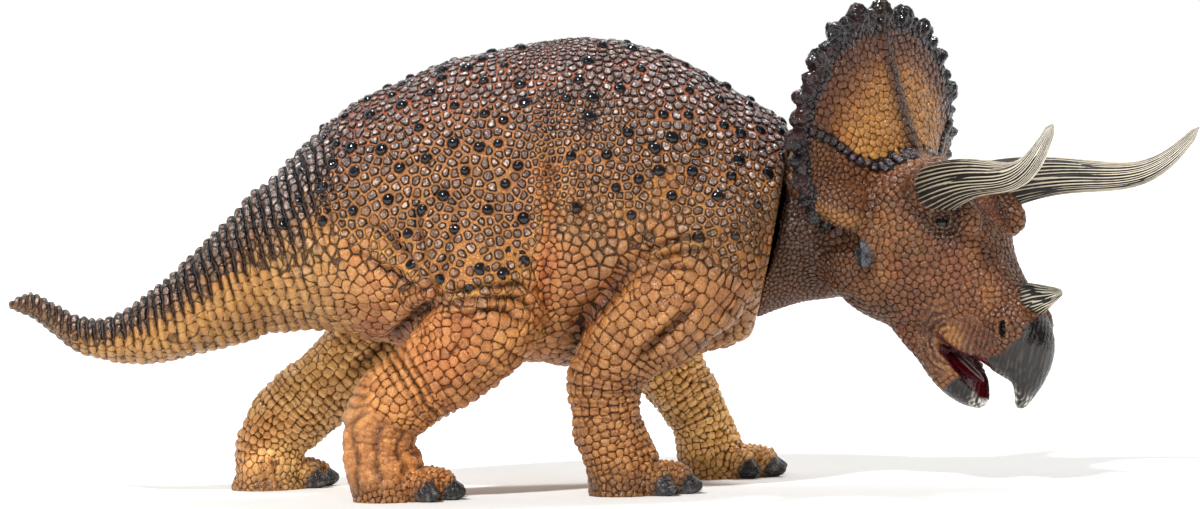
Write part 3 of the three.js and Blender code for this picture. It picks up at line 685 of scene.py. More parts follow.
# Each leg's rows: ahead of the joint and height, in leg heights, out from the middle, depth fore and aft and across
legLook = {"height": 82, "hindDepth": 20, "frontDepth": 18, "hindJoint": 0.386, "frontJoint": 0.803, "halfTrack": 26,
           "around": 44, "footRadius": 9.6, "footHeight": 7, "toeTurns": (-46, -16, 14, 44),
           "toeReach": (0.82, 1.12, 1.16, 0.9), "toeLength": 12, "toeWidth": 6.8, "toeHeight": 8.4, "toeSink": 1.5,
           "toeDrop": 0.6, "nailLength": 9, "nailWidth": 5, "nailHeight": 5.2, "nailDrop": 0.3,
           "rowsFrom": 26.0, "rowsEnd": 7}     # rows of scales start so far down and end so far above the sole
hindRight = [
    [-0.02, 1.0, 0.66, 0.74, 0.35], [-0.012, 0.9, 0.78, 0.97, 0.56], [0.0, 0.786, 0.87, 1.03, 0.66],
    [0.024, 0.655, 0.96, 0.91, 0.63], [0.03, 0.55, 1.02, 0.74, 0.56], [-0.042, 0.44, 1.02, 0.57, 0.5],
    [-0.16, 0.357, 1.0, 0.49, 0.46], [-0.268, 0.274, 0.97, 0.48, 0.43], [-0.3, 0.167, 0.96, 0.43, 0.4],
    [-0.282, 0.08, 0.96, 0.46, 0.46], [-0.262, 0.0, 0.96, 0.4, 0.44],
]
hindLeft = [
    [-0.048, 1.0, 0.66, 0.74, 0.35], [-0.06, 0.9, 0.78, 0.9, 0.56], [-0.095, 0.786, 0.87, 0.93, 0.66],
    [-0.143, 0.655, 0.96, 0.85, 0.63], [-0.214, 0.536, 1.0, 0.7, 0.56], [-0.345, 0.434, 1.0, 0.56, 0.5],
    [-0.46, 0.335, 0.98, 0.49, 0.46], [-0.6, 0.225, 0.96, 0.46, 0.43], [-0.655, 0.15, 0.96, 0.42, 0.4],
    [-0.668, 0.077, 0.96, 0.43, 0.44], [-0.668, 0.0, 0.96, 0.38, 0.44],
]
frontRight = [
    [0.004, 1.0, 0.58, 0.72, 0.34], [0.01, 0.893, 0.72, 0.94, 0.56], [-0.002, 0.774, 0.83, 1.03, 0.68],
    [-0.038, 0.655, 0.93, 0.96, 0.68], [-0.115, 0.554, 0.98, 0.79, 0.63], [-0.215, 0.464, 1.0, 0.6, 0.55],
    [-0.275, 0.357, 0.98, 0.49, 0.48], [-0.275, 0.238, 0.96, 0.45, 0.44], [-0.25, 0.143, 0.96, 0.45, 0.44],
    [-0.23, 0.08, 0.96, 0.5, 0.48], [-0.218, 0.0, 0.96, 0.48, 0.5],
]
frontLeft = [
    [0.004, 1.0, 0.58, 0.72, 0.34], [0.004, 0.893, 0.72, 0.9, 0.56], [-0.014, 0.774, 0.83, 0.95, 0.68],
    [-0.056, 0.655, 0.93, 0.86, 0.68], [-0.1, 0.548, 0.98, 0.67, 0.63], [-0.11, 0.44, 1.0, 0.54, 0.55],
    [-0.075, 0.345, 0.98, 0.47, 0.48], [-0.02, 0.256, 0.96, 0.42, 0.44], [0.025, 0.173, 0.96, 0.41, 0.41],
    [0.045, 0.083, 0.96, 0.46, 0.44], [0.062, 0.0, 0.96, 0.42, 0.46],
]
legs = {}
for name, end, rows, side, footTurn in (("hind_leg_right", "hind", hindRight, -1, 0),
                                        ("hind_leg_left", "hind", hindLeft, 1, 35),
                                        ("front_leg_right", "front", frontRight, -1, 0),
                                        ("front_leg_left", "front", frontLeft, 1, 0)):
    legs[name] = {"rows": smoothTable(rows, 4), "side": side, "jointX": torsoX(legLook[end + "Joint"]),
                  "depth": legLook[end + "Depth"], "footTurn": footTurn}


def legAxes(along):                # ahead of a leg's line, and across it
    fore = unit(np.cross([0, 1, 0], along))
    return fore, unit(np.cross(along, fore))


def legLofts(leg):                 # the leg's own skin, then its foot, toes and nails
    rows, side, depth = leg["rows"], leg["side"], leg["depth"]
    line = np.stack([leg["jointX"] + rows[:, 0] * legLook["height"], side * rows[:, 2] * legLook["halfTrack"],
                     rows[:, 1] * legLook["height"]], 1)
    along = unit(np.gradient(line, axis=0))
    leg["line"] = line
    leg["fore"], leg["across"] = legAxes(along)
    along[-1] = (0, 0, -1)         # the sole is level
    fore, across = legAxes(along)
    turn = np.arange(legLook["around"]) / legLook["around"] * 2 * np.pi
    rings = [line[i] + np.outer(np.cos(turn), fore[i]) * rows[i, 3] * depth
             + np.outer(np.sin(turn), across[i]) * rows[i, 4] * depth for i in range(len(rows))]
    lofts = [loft(rings)]
    foot = line[-1] * (1, 1, 0)
    lofts.append(eggSolid(foot, (legLook["footRadius"], legLook["footRadius"], legLook["footHeight"])))
    leg["nails"] = []
    for toe, reach in zip(legLook["toeTurns"], legLook["toeReach"]):
        heading = math.radians(toe + leg["footTurn"]) * side
        ahead = np.array([math.cos(heading), math.sin(heading), 0])
        axes = [ahead, (-ahead[1], ahead[0], 0), (0, 0, 1)]
        out = legLook["footRadius"] * reach
        middle = foot + ahead * (out - legLook["toeSink"]) + (0, 0, legLook["toeHeight"] / 2 - legLook["toeDrop"])
        lofts.append(eggSolid(middle, (legLook["toeLength"] / 2 + legLook["toeSink"], legLook["toeWidth"] / 2,
                                       legLook["toeHeight"] / 2), axes))
        tip = foot + ahead * (out + legLook["toeLength"] / 2 - legLook["nailLength"] / 4)
        tip = tip + (0, 0, legLook["nailHeight"] / 2 - legLook["nailDrop"])
        lofts.append(eggSolid(tip, nailSize, axes))
        leg["nails"].append((tip, np.array(axes)))
    return lofts


print("body skin")
nailSize = np.array([legLook["nailLength"], legLook["nailWidth"], legLook["nailHeight"]]) / 2
legSkins = [legLofts(leg) for leg in legs.values()]
bodyLofts = [torsoLoft(), tailLoft()] + [piece for skins in legSkins for piece in skins]
groups = [0, 1] + [2 + i for i, skins in enumerate(legSkins) for _ in skins]
coarseBody, quads, labels, edges, pointLabel, toBorder = labelledSkin("bodySkin", bodyLofts, groups, bodyLook["voxel"])
# the limbs run into the torso: the crease between them is rounded most near the top of the leg
coarseBody = relax(coarseBody, edges, 0.6 * (hill(toBorder, 0, 5.0) * smoothStep(24, 40, coarseBody[:, 2])), 26)
bodyPoints, bodyQuads, bodyLabels = refined("bodySkin", coarseBody, quads, labels)
print("body skin has", len(bodyPoints), "points")


def backShare(points):             # 0 at the belly line and 1 on the back, all along torso and tail
    torsoTable = smoothTable(torsoRows, 4)
    x = np.concatenate([tailRootX - tailRing[::-1, 0] * bodyLook["tailLength"], torsoX(torsoTable[1:, 0])])
    low = np.concatenate([tailRootZ + tailRing[::-1, 2] * bodyLook["tailHeight"], torsoZ(torsoTable[1:, 2])])
    high = np.concatenate([tailRootZ + tailRing[::-1, 1] * bodyLook["tailHeight"], torsoZ(torsoTable[1:, 1])])
    order = np.argsort(x)
    floor = np.interp(points[:, 0], x[order], low[order])
    roof = np.interp(points[:, 0], x[order], high[order])
    return np.clip((points[:, 2] - floor) / (roof - floor), -1, 1.2)


def onLegs(points):                # 0 on the torso, rising to 1 down each leg
    rise = bodyLook["shoulderRise"] * smoothStep(0, 40, points[:, 0])
    return 1 - smoothStep(*bodyLook["legTop"], points[:, 2] - rise)


def legFrame(points, leg):         # how far down the leg's own line, the turn round it, and how far out
    line = leg["line"]
    far, share = pathDistance(points, line)
    passed = passedAlong(line)
    down = share * passed[-1]
    out = points - rowsAt(down, passed, line)
    fore = unit(rowsAt(down, passed, leg["fore"]))
    turn = np.arctan2(out[:, 1] * leg["side"], (out * fore).sum(1))    # 0 in front, a quarter turn on its outer side
    return down, turn, far


def bodySpacing(points):
    x, z = points[:, 0], points[:, 2]
    back = backShare(points)
    space = np.full(len(points), bodyLook["flankScale"])
    space += (bodyLook["backScale"] - bodyLook["flankScale"]) * smoothStep(0.45, 0.85, back)
    space += 0.45 * hill(x, -28, 17) * hill(back, 0.66, 0.24)      # the rump has the biggest scales
    space += (bodyLook["legScale"] - space) * (onLegs(points) * (x > tailRootX))
    space += (bodyLook["toeScale"] - space) * (1 - smoothStep(6, 15, z))
    space *= 1 - 0.3 * hill(x, flankX(z), 6) * smoothStep(34, 46, z)
    space += (bodyLook["tailScale"] - space) * smoothStep(tailRootX, -110, x)
    return space * (1 + 0.12 * waves(points, 30, 3))


def flankX(z):                     # the fold that runs down the flank before the thigh
    return np.interp(z, [44, 51.5, 61.5, 74, 86.5, 101], [2, 3, 4.5, 5.5, 5.5, 5])


# Folds of skin, as lines seen from the side: places in mm, then width, depth, rise of the lips, and how much painted
# shade the groove takes
skinFolds = [
    ([(5, 101), (5.5, 86.5), (5.5, 74), (4.5, 61.5), (3, 51.5), (2, 44)], 2.0, 0.7, 0.3, 0.35),
    ([(-23.5, 50.5), (-18.5, 52), (-11, 53), (-3.5, 53.5), (1, 51.5)], 0.9, 0.9, 0.35, 0.7),
    ([(-22, 48.5), (-16, 50), (-8.5, 50.5), (-2, 48.5), (1.5, 44.5)], 0.9, 0.8, 0.35, 0.7),
    ([(-20.5, 45), (-13.5, 47), (-7.5, 47), (-2.5, 43.5)], 0.8, 0.55, 0.25, 0.7),
    ([(-48.5, 29.5), (-39.5, 36.5), (-32.5, 42.5), (-26.5, 48), (-23.5, 49.5), (-24, 53)], 1.7, 1.6, 0.5, 0.7),
    ([(-24, 52), (-29.5, 59.5), (-34.5, 65), (-40, 69)], 1.2, 0.8, 0.3, 0.7),
    ([(-24, 52.5), (-26.5, 61), (-28, 68.5), (-28.5, 75)], 1.1, 0.7, 0.3, 0.7),
    ([(-23.5, 52.5), (-21, 60), (-19, 67), (-17.5, 73.5)], 1.1, 0.6, 0.25, 0.7),
    ([(-24.5, 51.5), (-33.5, 55.5), (-39.5, 59.5), (-45.5, 63)], 1.3, 0.9, 0.3, 0.7),
    ([(27, 59), (30, 61.5), (37, 63.5), (43.5, 64.5)], 0.8, 0.7, 0.35, 0.7),
    ([(24.5, 56), (28.5, 58), (37, 60), (45.5, 60.5)], 0.8, 0.6, 0.3, 0.7),
    ([(23.5, 52.5), (28, 55), (34.5, 56.5), (41.5, 56)], 0.7, 0.4, 0.2, 0.7),
    ([(28, 62), (21, 52.5), (16, 47), (11.5, 41.5), (9.5, 36)], 2.6, 1.3, 0.3, 0.7),
    ([(40, 47), (34.5, 42), (31.5, 39.5), (28, 36.5), (25, 34)], 1.5, 1.5, 0.6, 0.7),
    ([(53, 42.5), (47, 39), (41, 37), (36, 35)], 1.4, 0.8, 0.4, 0.7),
]
# Rings of wrinkles across each leg: how far down in mm, over what length, pitch, height, and the turn they face
legRings = {
    "hind_leg_right": [(62, 3.6, 2.3, 1.1, None), (47, 8, 2.0, 0.3, 2.9), (80, 7, 1.5, 0.28, None)],
    "hind_leg_left": [(52, 16, 2.3, 0.38, None), (78, 9, 1.7, 0.4, None)],
    "front_leg_right": [(30, 6, 2.3, 0.35, 0.2), (66, 10, 1.7, 0.34, None), (44, 5, 2.2, 0.2, 3.0)],
    "front_leg_left": [(34, 10, 2.2, 0.3, None), (66, 10, 1.6, 0.38, None)],
}
ribTable = ([30, 60, 90, 120, 136], [0, 10.5, 21.5, 35, 44])     # mm behind the middle, and ribs passed


def ribLean(x, z):                 # ribs lean forward below
    return 0.28 * (z - 50) * smoothStep(-120, -70, x)


def tailCount(points):             # ribs passed from the rump to the tip
    q = points[:, 0] + ribLean(points[:, 0], points[:, 2])
    return np.interp(-(q + 0.55 * waves(points, 13, 83)), *ribTable)


def tailSeeds():                   # rib by rib: small scales on the back, larger squares below
    made = []
    rng = np.random.RandomState(77)
    torsoTable = smoothTable(torsoRows, 4)
    around = bodyLook["ribAround"]
    for x in -np.interp(np.arange(5, 44) + 0.5, ribTable[1], ribTable[0]):
        reachBack = (tailRootX - x) / bodyLook["tailLength"]
        if reachBack > 0:
            y, z = tailSection(around, *rowsAt(reachBack, tailRing[:, 0], tailRing[:, 1:]))
        else:
            top, bottom, wide = rowsAt(x / bodyLook["length"] + 0.5, torsoTable[:, 0], torsoTable[:, 1:])
            y, z = eggRing(around, bodyLook["width"] / 2 * wide, torsoZ(bottom), torsoZ(top), bodyLook["widestShare"])
        steps = np.hypot(np.diff(y, append=y[0]), np.diff(z, append=z[0]))
        passed = np.concatenate([[0], np.cumsum(steps)])
        place = rng.uniform(0, 1.5)
        while place < passed[-1] - 0.8:
            i = min(np.searchsorted(passed, place), len(y) - 1)
            made.append((x - ribLean(x, z[i]) + rng.uniform(-0.35, 0.35), y[i], z[i]))
            high = (z[i] - z.min()) / max(z.max() - z.min(), 1)
            pitch = np.interp(high, [0.35, 0.65], [3.1, 3.4]) * np.interp(x, [-136, -80], [0.6, 1.0])
            place += pitch * rng.uniform(0.7, 1.35)
    return np.array(made)


def legSeeds(leg, tree):           # squarish scales in rows round the leg
    line, rows = leg["line"], leg["rows"]
    rng = np.random.RandomState(int(80 + leg["jointX"] + 5 * leg["side"]))
    passed = passedAlong(line)
    made = []
    down = legLook["rowsFrom"]
    while down < passed[-1] - legLook["rowsEnd"]:
        centre = rowsAt(down, passed, line)
        fore = unit(rowsAt(down, passed, leg["fore"]))
        across = unit(rowsAt(down, passed, leg["across"]))
        deep, wide = rowsAt(down, passed, rows[:, 3:]) * leg["depth"]
        pitch = np.interp(down, [legLook["rowsFrom"], 45, passed[-1] - 20, passed[-1] - 8], [2.65, 2.5, 2.1, 1.7])
        around = np.pi * (1.5 * (deep + wide) - math.sqrt(deep * wide))
        count = max(int(around / (pitch * 1.08)), 8)
        turn = rng.uniform(0, 6.28)
        for k in range(count):
            angle = turn + 2 * np.pi * (k + rng.uniform(-0.14, 0.14)) / count
            place = centre + fore * deep * math.cos(angle) + across * wide * math.sin(angle)
            near = tree.find(place)
            if near[2] < 2.5:
                made.append(near[0])
        down += pitch * rng.uniform(0.9, 1.1)
    return np.array(made)


print("body scales")
bodySpace = bodySpacing(coarseBody)
coarseTree = treeOf(coarseBody)
ordered = np.vstack([tailSeeds()] + [legSeeds(leg, coarseTree) for leg in legs.values()])
ordered = thinned(ordered[distanceTo(ordered, coarseBody) < 3.0], 1.15)
# the spots' lower border: places along the body in mm, and shares of the height of the back
spotRows = ([-140, -122, -114, -104, -89, -70, -50, -38, -23, -8, 3, 9.5, 17, 27, 37, 49, 57, 62],
            [-0.3, -0.2, 0.3, 0.5, 0.52, 0.46, 0.4, 0.36, 0.2, 0.2, 0.34, 0.38, 0.34, 0.38, 0.42, 0.3, 0.32, 0.38])


def spotLine(points):
    return np.interp(points[:, 0], *spotRows) + 0.05 * waves(points, 26, 9)


bumpRng = np.random.RandomState(21)
bumpSpace = bodyLook["bumpGap"] + bodyLook["bumpGapSpread"] * bumpRng.rand(len(coarseBody))
bumpSeeds = scatter(coarseBody, bumpSpace, 5)
bumpBack = (backShare(coarseBody) - spotLine(coarseBody))[bumpSeeds]
bumpX = coarseBody[bumpSeeds, 0]
offFold = np.abs(bumpX - flankX(coarseBody[bumpSeeds, 2])) > 3.5
bumpKeep = smoothStep(-0.02, 0.1, bumpBack) * (bumpX > bodyLook["bumpStart"]) * offFold
bumpSeeds = bumpSeeds[bumpKeep > bumpRng.rand(len(bumpSeeds)) * 0.8 + 0.1]
ordered = ordered[distanceTo(ordered, coarseBody[bumpSeeds]) > bodyLook["bumpClear"]]
plainSeeds = scatter(coarseBody, bodySpace * 0.84, 7)
clear = distanceTo(coarseBody[plainSeeds], coarseBody[bumpSeeds]) > bodyLook["bumpClear"]
clear &= distanceTo(coarseBody[plainSeeds], ordered) > 0.8 * bodySpace[plainSeeds]
bodySeeds = evenSeeds(coarseBody, np.vstack([coarseBody[bumpSeeds], coarseBody[plainSeeds[clear]]]), 2)
bodySeeds = np.vstack([bodySeeds, ordered])
isBump = np.arange(len(bodySeeds)) < len(bumpSeeds)
seedRng = np.random.RandomState(31)
bodyBonus = np.where(isBump, 0.35 + 0.35 * seedRng.rand(len(bodySeeds)), 0.0) + 0.1 * seedRng.rand(len(bodySeeds))
owner, reach, edge = cells(bodyPoints, bodySeeds, bodyBonus)
print("body has", len(bodySeeds), "scales")

back = backShare(bodyPoints)
leg = onLegs(bodyPoints)
space = bodySpacing(bodyPoints)
bump = isBump[owner].astype(float)
cell = seedRng.rand(len(bodySeeds))[owner]
x, y, z = bodyPoints.T
legOnly = leg * ((x > tailRootX) | (y > 16.5))      # the far hind foot stands under the tail
foldBand = hill(x - flankX(z), -0.6, 2.8) * smoothStep(94, 58, z) * smoothStep(38, 48, z)
tailZone = smoothStep(-40, -58, x) * (1 - legOnly)
reachDark = 0.22 + 0.16 * tailZone
dark = smoothStep(-reachDark, reachDark + 0.04, back - spotLine(bodyPoints))
dark = dark * (1 - 0.95 * legOnly) * 0.62 + 0.38 * smoothStep(0.62, 1.0, back)
dark *= 1 - 0.85 * foldBand
# skin shows between the scales where the spots lie, widest on the rump
net = smoothStep(0.1, 0.5, dark) * (0.19 + 0.09 * smoothStep(10, -20, x) * smoothStep(-60, -40, x))
net *= (0.6 + 0.8 * cell) * (1 - 0.2 * smoothStep(0.6, 0.85, back)) * (1 - bump)
edge = edge - net
island = space * (0.53 + 0.12 * cell + 0.12 * smoothStep(0.6, 0.85, back))
island += 3 * (1 - smoothStep(0.15, 0.45, dark)) + 3 * tailZone + 9 * bump
edge = np.minimum(edge, island - reach)
bumpSize = (bodyLook["bumpRadius"] + bodyLook["bumpRadiusSpread"] * cell) * bump
edge = np.where(bump > 0, np.minimum(edge, bumpSize - reach), edge)
# on the tail the scales of a rib run together, and the grooves between the ribs stay open
ribs = tailCount(bodyPoints)
ribShape = trough(2 * np.pi * ribs)
upperTail = smoothStep(0.35, 0.6, back)
ribReach = (0.5 - np.abs(ribs % 1 - 0.5)) * np.interp(x, [-136, -60], [1.6, 2.8])
ribbed = tailZone * (0.25 + 0.75 * upperTail)
edge = edge + (np.minimum(edge + 0.16, ribReach - 0.1 - 0.5 * net) - edge) * ribbed
height = bodyLook["relief"] * (space / 2.2) * smoothStep(-0.05, 0.3, edge)
height += 0.1 * smoothStep(-0.04, -0.25, edge)
height += (0.1 + 0.24 * legOnly) * np.clip(1 - (reach / (0.62 * space)) ** 2, 0, 1)
# each scale leans its own way, so that some catch the light
tiltWay = unit(np.random.RandomState(91).normal(size=(len(bodySeeds), 3)))[owner]
tilt = ((bodyPoints - bodySeeds[owner]) * tiltWay).sum(1) * (1 - bump) * smoothStep(0.0, 0.2, edge)
height += bodyLook["tilt"] * np.clip(tilt, -1.3, 1.3)
height += bump * bodyLook["bumpHeight"] * np.sqrt(np.clip(1 - (reach / np.maximum(bumpSize, 0.1)) ** 2, 0, 1))
height *= 0.75 + 0.5 * seedRng.rand(len(bodySeeds))[owner]
height *= (1 - 0.4 * (1 - smoothStep(4, 12, z))) * (1 - 0.45 * tailZone) * np.interp(x, [-138, -105], [0.5, 1.0])

# ribs round the tail and the rump's end
ribHeight = (0.4 + 0.5 * upperTail) * np.interp(x, [-136, -112, -60], [0.3, 0.9, 1.0])
height += tailZone * ribHeight * (ribShape ** 0.6 - 0.5)
# painted shade in the grooves between the ribs, strongest on the upper tail
rib = tailZone * (1 - ribShape) ** 2 * (0.35 + 0.65 * upperTail)

# folds on both flanks, with painted shade in their grooves
fold = np.zeros(len(bodyPoints))
sideView = bodyPoints[:, [0, 2]]
outer = smoothStep(4, 12, np.abs(y)) * (np.abs(y) > 3)
wobble = 0.5 * waves(bodyPoints, 9, 23)
for path, width, depth, lip, grooveShade in skinFolds:
    path = smoothTable(path, 5)
    far, share = pathDistance(sideView + wobble[:, None] * 0.6, path)
    fade = np.sqrt(np.clip(np.sin(np.pi * np.clip(share, 0.03, 0.97)), 0, 1)) * outer * (far < 5 * width)
    height -= 1.35 * depth * hill(far, 0, width) * fade
    height += 1.5 * lip * hill(far, 2.1 * width, 1.1 * width) * fade
    fold = np.maximum(fold, min(depth, 1.0) * grooveShade * hill(far, 0, 0.62 * width) * fade)


# the fold field puts painted shade into the grooves
def carve(index, share, cut, high, wave, flatten, power, grooveShade):      # grooves of a wave, flattening the scales there
    height[index] = height[index] * (1 - flatten * share) + share * high * (wave ** cut - 0.5)
    fold[index] = np.maximum(fold[index], share * grooveShade * (1 - wave) ** power)


# wrinkle rings on the legs, and grooves that run down the near hind foot and fan out round its heel
for name, limb in legs.items():
    index = np.flatnonzero((z < 60) & (y * limb["side"] > 4) & (np.abs(x - limb["line"][:, 0].mean()) < 50))
    down, turn, far = legFrame(bodyPoints[index], limb)
    own = far < 15
    index, down, turn = index[own], down[own], turn[own]
    for middle, length, pitch, high, facing in legRings[name]:
        share = hill(down, middle, length) * (bodyPoints[index, 2] > 5)
        if facing is not None:
            share *= crest(turn - facing)
        phase = (down + 0.5 * waves(bodyPoints[index], 8, 41) + 0.6 * np.sin(turn * 2)) / pitch
        carve(index, share, 0.6, high, trough(2 * np.pi * phase), 0.5 * min(high, 1), 3, min(1.6 * high, 0.8))
    if name == "hind_leg_right":
        total = passedAlong(limb["line"])[-1]
        share = smoothStep(total - 24, total - 19, down) * (1 - smoothStep(total - 8, total - 3, down))
        wave = trough(turn * 9 + 0.06 * down + waves(bodyPoints[index], 9, 47))
        edge[index] += (0.45 - edge[index]) * 0.3 * share
        carve(index, share, 0.5, 0.8, wave, 0.35, 5, 0.65)
        heel = bodyPoints[index][:, [0, 2]] - bodyLook["heel"]
        away = np.linalg.norm(heel, axis=1)
        spoke = np.arctan2(heel[:, 1], -heel[:, 0])
        share = smoothStep(7, 10, away) * (1 - smoothStep(17, 20, away))
        share *= smoothStep(-0.9, -0.5, spoke) * (1 - smoothStep(1.5, 2.0, spoke))
        edge[index] += (0.45 - edge[index]) * 0.5 * share
        carve(index, share, 0.5, 0.6, trough(spoke * 26 + waves(bodyPoints[index], 9, 49)), 0.5, 3, 0.5)

# slow unevenness of hand-carved muscle
muscle = bodyLook["muscle"] * waves(bodyPoints, bodyLook["muscleSize"], 53)
height += muscle * (0.35 + 0.65 * legOnly) * smoothStep(2, 12, z)

# nails are smooth, black, pointed and stand out of the toes
nail = np.zeros(len(bodyPoints))
toeRings = np.zeros(len(bodyPoints))
shift = np.zeros((len(bodyPoints), 3))
low = np.flatnonzero(z < 12)
for limb in legs.values():
    for tip, axes in limb["nails"]:
        local = (bodyPoints[low] - tip) @ axes.T / nailSize
        away = np.linalg.norm(local - (0.35, 0, 0), axis=1)
        share = 1 - smoothStep(1.0, 1.3, away)
        nail[low] = np.maximum(nail[low], share)
        onToe = (np.abs(local[:, 1]) < 1.6) * (local[:, 0] < 0.6) * smoothStep(-4, -2.4, local[:, 0])
        folds = 0.22 * np.cos(2 * np.pi * local[:, 0] * nailSize[0] / 1.35)
        toeRings[low] += onToe * folds * (1 - share) + 0.3 * hill(away, 1.42, 0.16)      # the last is the cuticle
        squeeze = -0.5 * share * np.clip(local[:, 0], 0, 1.3) ** 1.5
        across = (local * nailSize)[:, 1] * squeeze
        drop = np.maximum((local * nailSize)[:, 2], 0) * squeeze * 0.9
        shift[low] += across[:, None] * axes[1] + drop[:, None] * axes[2]
height = height * (1 - nail) + 0.1 * nail + toeRings
bodyNormals = pointNormals(bodyPoints, bodyQuads)
bodyPoints = bodyPoints + bodyNormals * height[:, None] + shift
bodyPoints[:, 2] = np.maximum(bodyPoints[:, 2], 0)
# the shoulders end in a rounded lip, and nothing passes the collar, where the head turns
behindCollar = -(bodyPoints - collar) @ neckAxis
radial = bodyPoints - collar + behindCollar[:, None] * neckAxis
aboveLegs = z > bodyLook["legTop"][0]
lipDepth = np.clip(1 - behindCollar / bodyLook["lip"], 0, 1) * aboveLegs
rounding = bodyLook["lip"] * (1 - np.sqrt(np.clip(1 - lipDepth ** 2, 0, 1)))
bodyPoints -= radial * (rounding / bodyLook["collarRadius"])[:, None]
overrun = np.maximum((bodyPoints - collar) @ neckAxis, 0) * aboveLegs
bodyPoints -= overrun[:, None] * neckAxis

# what the paint reads at each point
# hollows get a wash deepened as painted shade; ridges a dry brush that is also a painted highlight
cavity = 0.75 * hollowness(bodyPoints, bodyQuads, *bodyLook["hollow"])
cavity = np.where(bump > 0, np.maximum(cavity, 0), cavity)
cavity = np.where(cavity > 0, cavity * (1 - 0.6 * dark * (1 - tailZone)), cavity)
under = smoothStep(0.1, -0.9, bodyNormals[:, 2])
inner = smoothStep(0.2, -0.5, bodyNormals[:, 1] * np.sign(y)) * (z < 50)
# darker towards the soles; painted shade on downward-facing skin, less on the legs, and high on the legs' inner faces
wash = (1 - smoothStep(1, 9, z)) * 0.7 + 0.45 * under * (1 - 0.6 * leg) + 0.08 * inner * smoothStep(16, 40, z)
# darker along the lower belly
wash += 0.3 * hill(z, 30, 9) * (1 - legOnly) * (x > -50)
# the near shoulder and front leg are painted darker: painted shade that tones down the light on that side
wash += 0.42 * smoothStep(-2, 14, x) * smoothStep(78, 64, z) * (y < 4)
rearGold = smoothStep(-40, -56, x) * smoothStep(0.8, 0.45, back) * (z > 20)
bodyFields = {
    "edge": edge, "cell": cell, "dark": np.clip(dark, 0, 1), "bump": bump,
    "fold": np.clip(fold + rib, 0, 1), "wash": np.clip(wash, 0, 0.9), "nail": nail, "cavity": cavity,
    "warm": np.clip(0.3 * foldBand + 0.35 * smoothStep(0.1, 1.0, waves(bodyPoints, 46, 13)) * (1 - rearGold), 0, 1),
    # gold: the tail's golden underside, and paler gold on the far legs and inner faces, partly their own paint and
    # partly painted light in place of light reaching them
    "gold": np.clip(rearGold + 0.3 * inner + 1.0 * (y > 4) * legOnly, 0, 1),
}
tailPaint = {
    # the tail's dark tops carry pale flecks that are painted highlights
    "backTop": "#241716", "backTopMid": "#4e3933", "backTopLight": "#b89c8e", "goldLight": "#c28c45",
    "backGap": "#8a4c2c", "ring": "#24120b",
}
# the gold colours here paint the far legs paler, partly as painted light
legPaint = {
    "scaleLight": "#d6914c", "scaleDeep": "#935420", "scaleGap": "#482611",
    "goldLight": "#fbc47a", "goldDeep": "#c68f49", "goldGap": "#65401c",
}
legPvc = paintedPvc("pvc_moulded_painted_legs", legPaint)
bodyPlan = [
    {"name": "torso_skin_shell", "node": "torso", "slot": "torso_skin", "depth": 9,
     "material": paintedPvc("pvc_moulded_painted_back", {})},
    {"name": "tail_skin_shell", "node": "tail", "slot": "tail_skin", "depth": 5, "apex": tailLine[5], "apexShare": 0.4,
     "material": paintedPvc("pvc_moulded_painted_tail", tailPaint)},
]
for name in legs:
    bodyPlan.append({"name": name + "_shell", "node": name, "slot": "leg_skin", "depth": 5, "material": legPvc})
cutPieces("body", bodyPoints, bodyQuads, bodyLabels, bodyFields, bodyPlan)

# Head group. Its own frame runs ahead along the snout (u), to the animal's left (v) and up out of the forehead (w).
headLook = {
    "turn": 35, "nod": 41, "centre": (88.994, -4, 66.1),
    "skullLength": 65, "skullHeight": 41, "skullWidth": 42, "jawLength": 30, "jawHeight": 18, "jawWidth": 22,
    "jawStart": 0.32, "jawLevel": -0.26,       # shares of the skull's length and height
    "frillWidth": 72, "frillHeight": 51.5, "frillDish": 9, "frillRoot": 6, "frillRim": 2.6,
    "frillNarrow": 0.08, "frillLow": 0.16,     # the frill's root, as shares of its outline and of its height
    "midRidge": -1.8,              # how far the frill's middle ridge lies to the animal's right
    # the row of big scales along the frill's lower edge
    "ridgePitch": 2.35, "ridgeRadius": 1.35, "ridgeCrown": 1.3, "ridgeHeight": 0.85, "ridgeClear": 1.7,
    "knobs": 15, "bigKnob": (2.7, 3.2, 2.4), "knobTip": (1.6, 3.9, 1.5), "smallKnob": (1.5, 1.7, 1.9),
    "neckHeight": 42, "neckWidth": 35, "neckGap": 0.4, "around": 56, "neckAround": 64,
    "lid": (19, 18), "hornRoot": (13.5, 13.4, 21), "hollow": (20, 0.3),
    "lidPitch": 1.25, "arcPitch": 1.7, "creasePitch": 1.45,      # of the folds by the eye, mouth corner and nostril
    "flutes": 74, "fluteMiddle": 20, "fluteDepth": 0.26,         # of the frill's rim
    "recess": 1.9, "mouthDepth": 2.6,
    "browHorn": (0.2, 0.64, 0.52), "noseHorn": (0.69, 0, 0.29), "eye": (0.3, 0.67, 0.4),      # shares of the skull
    "voxel": 0.52,
    "faceScale": 1.75, "snoutScale": 1.35, "neckScale": 1.15, "frillScale": 1.8, "relief": 0.3,
}
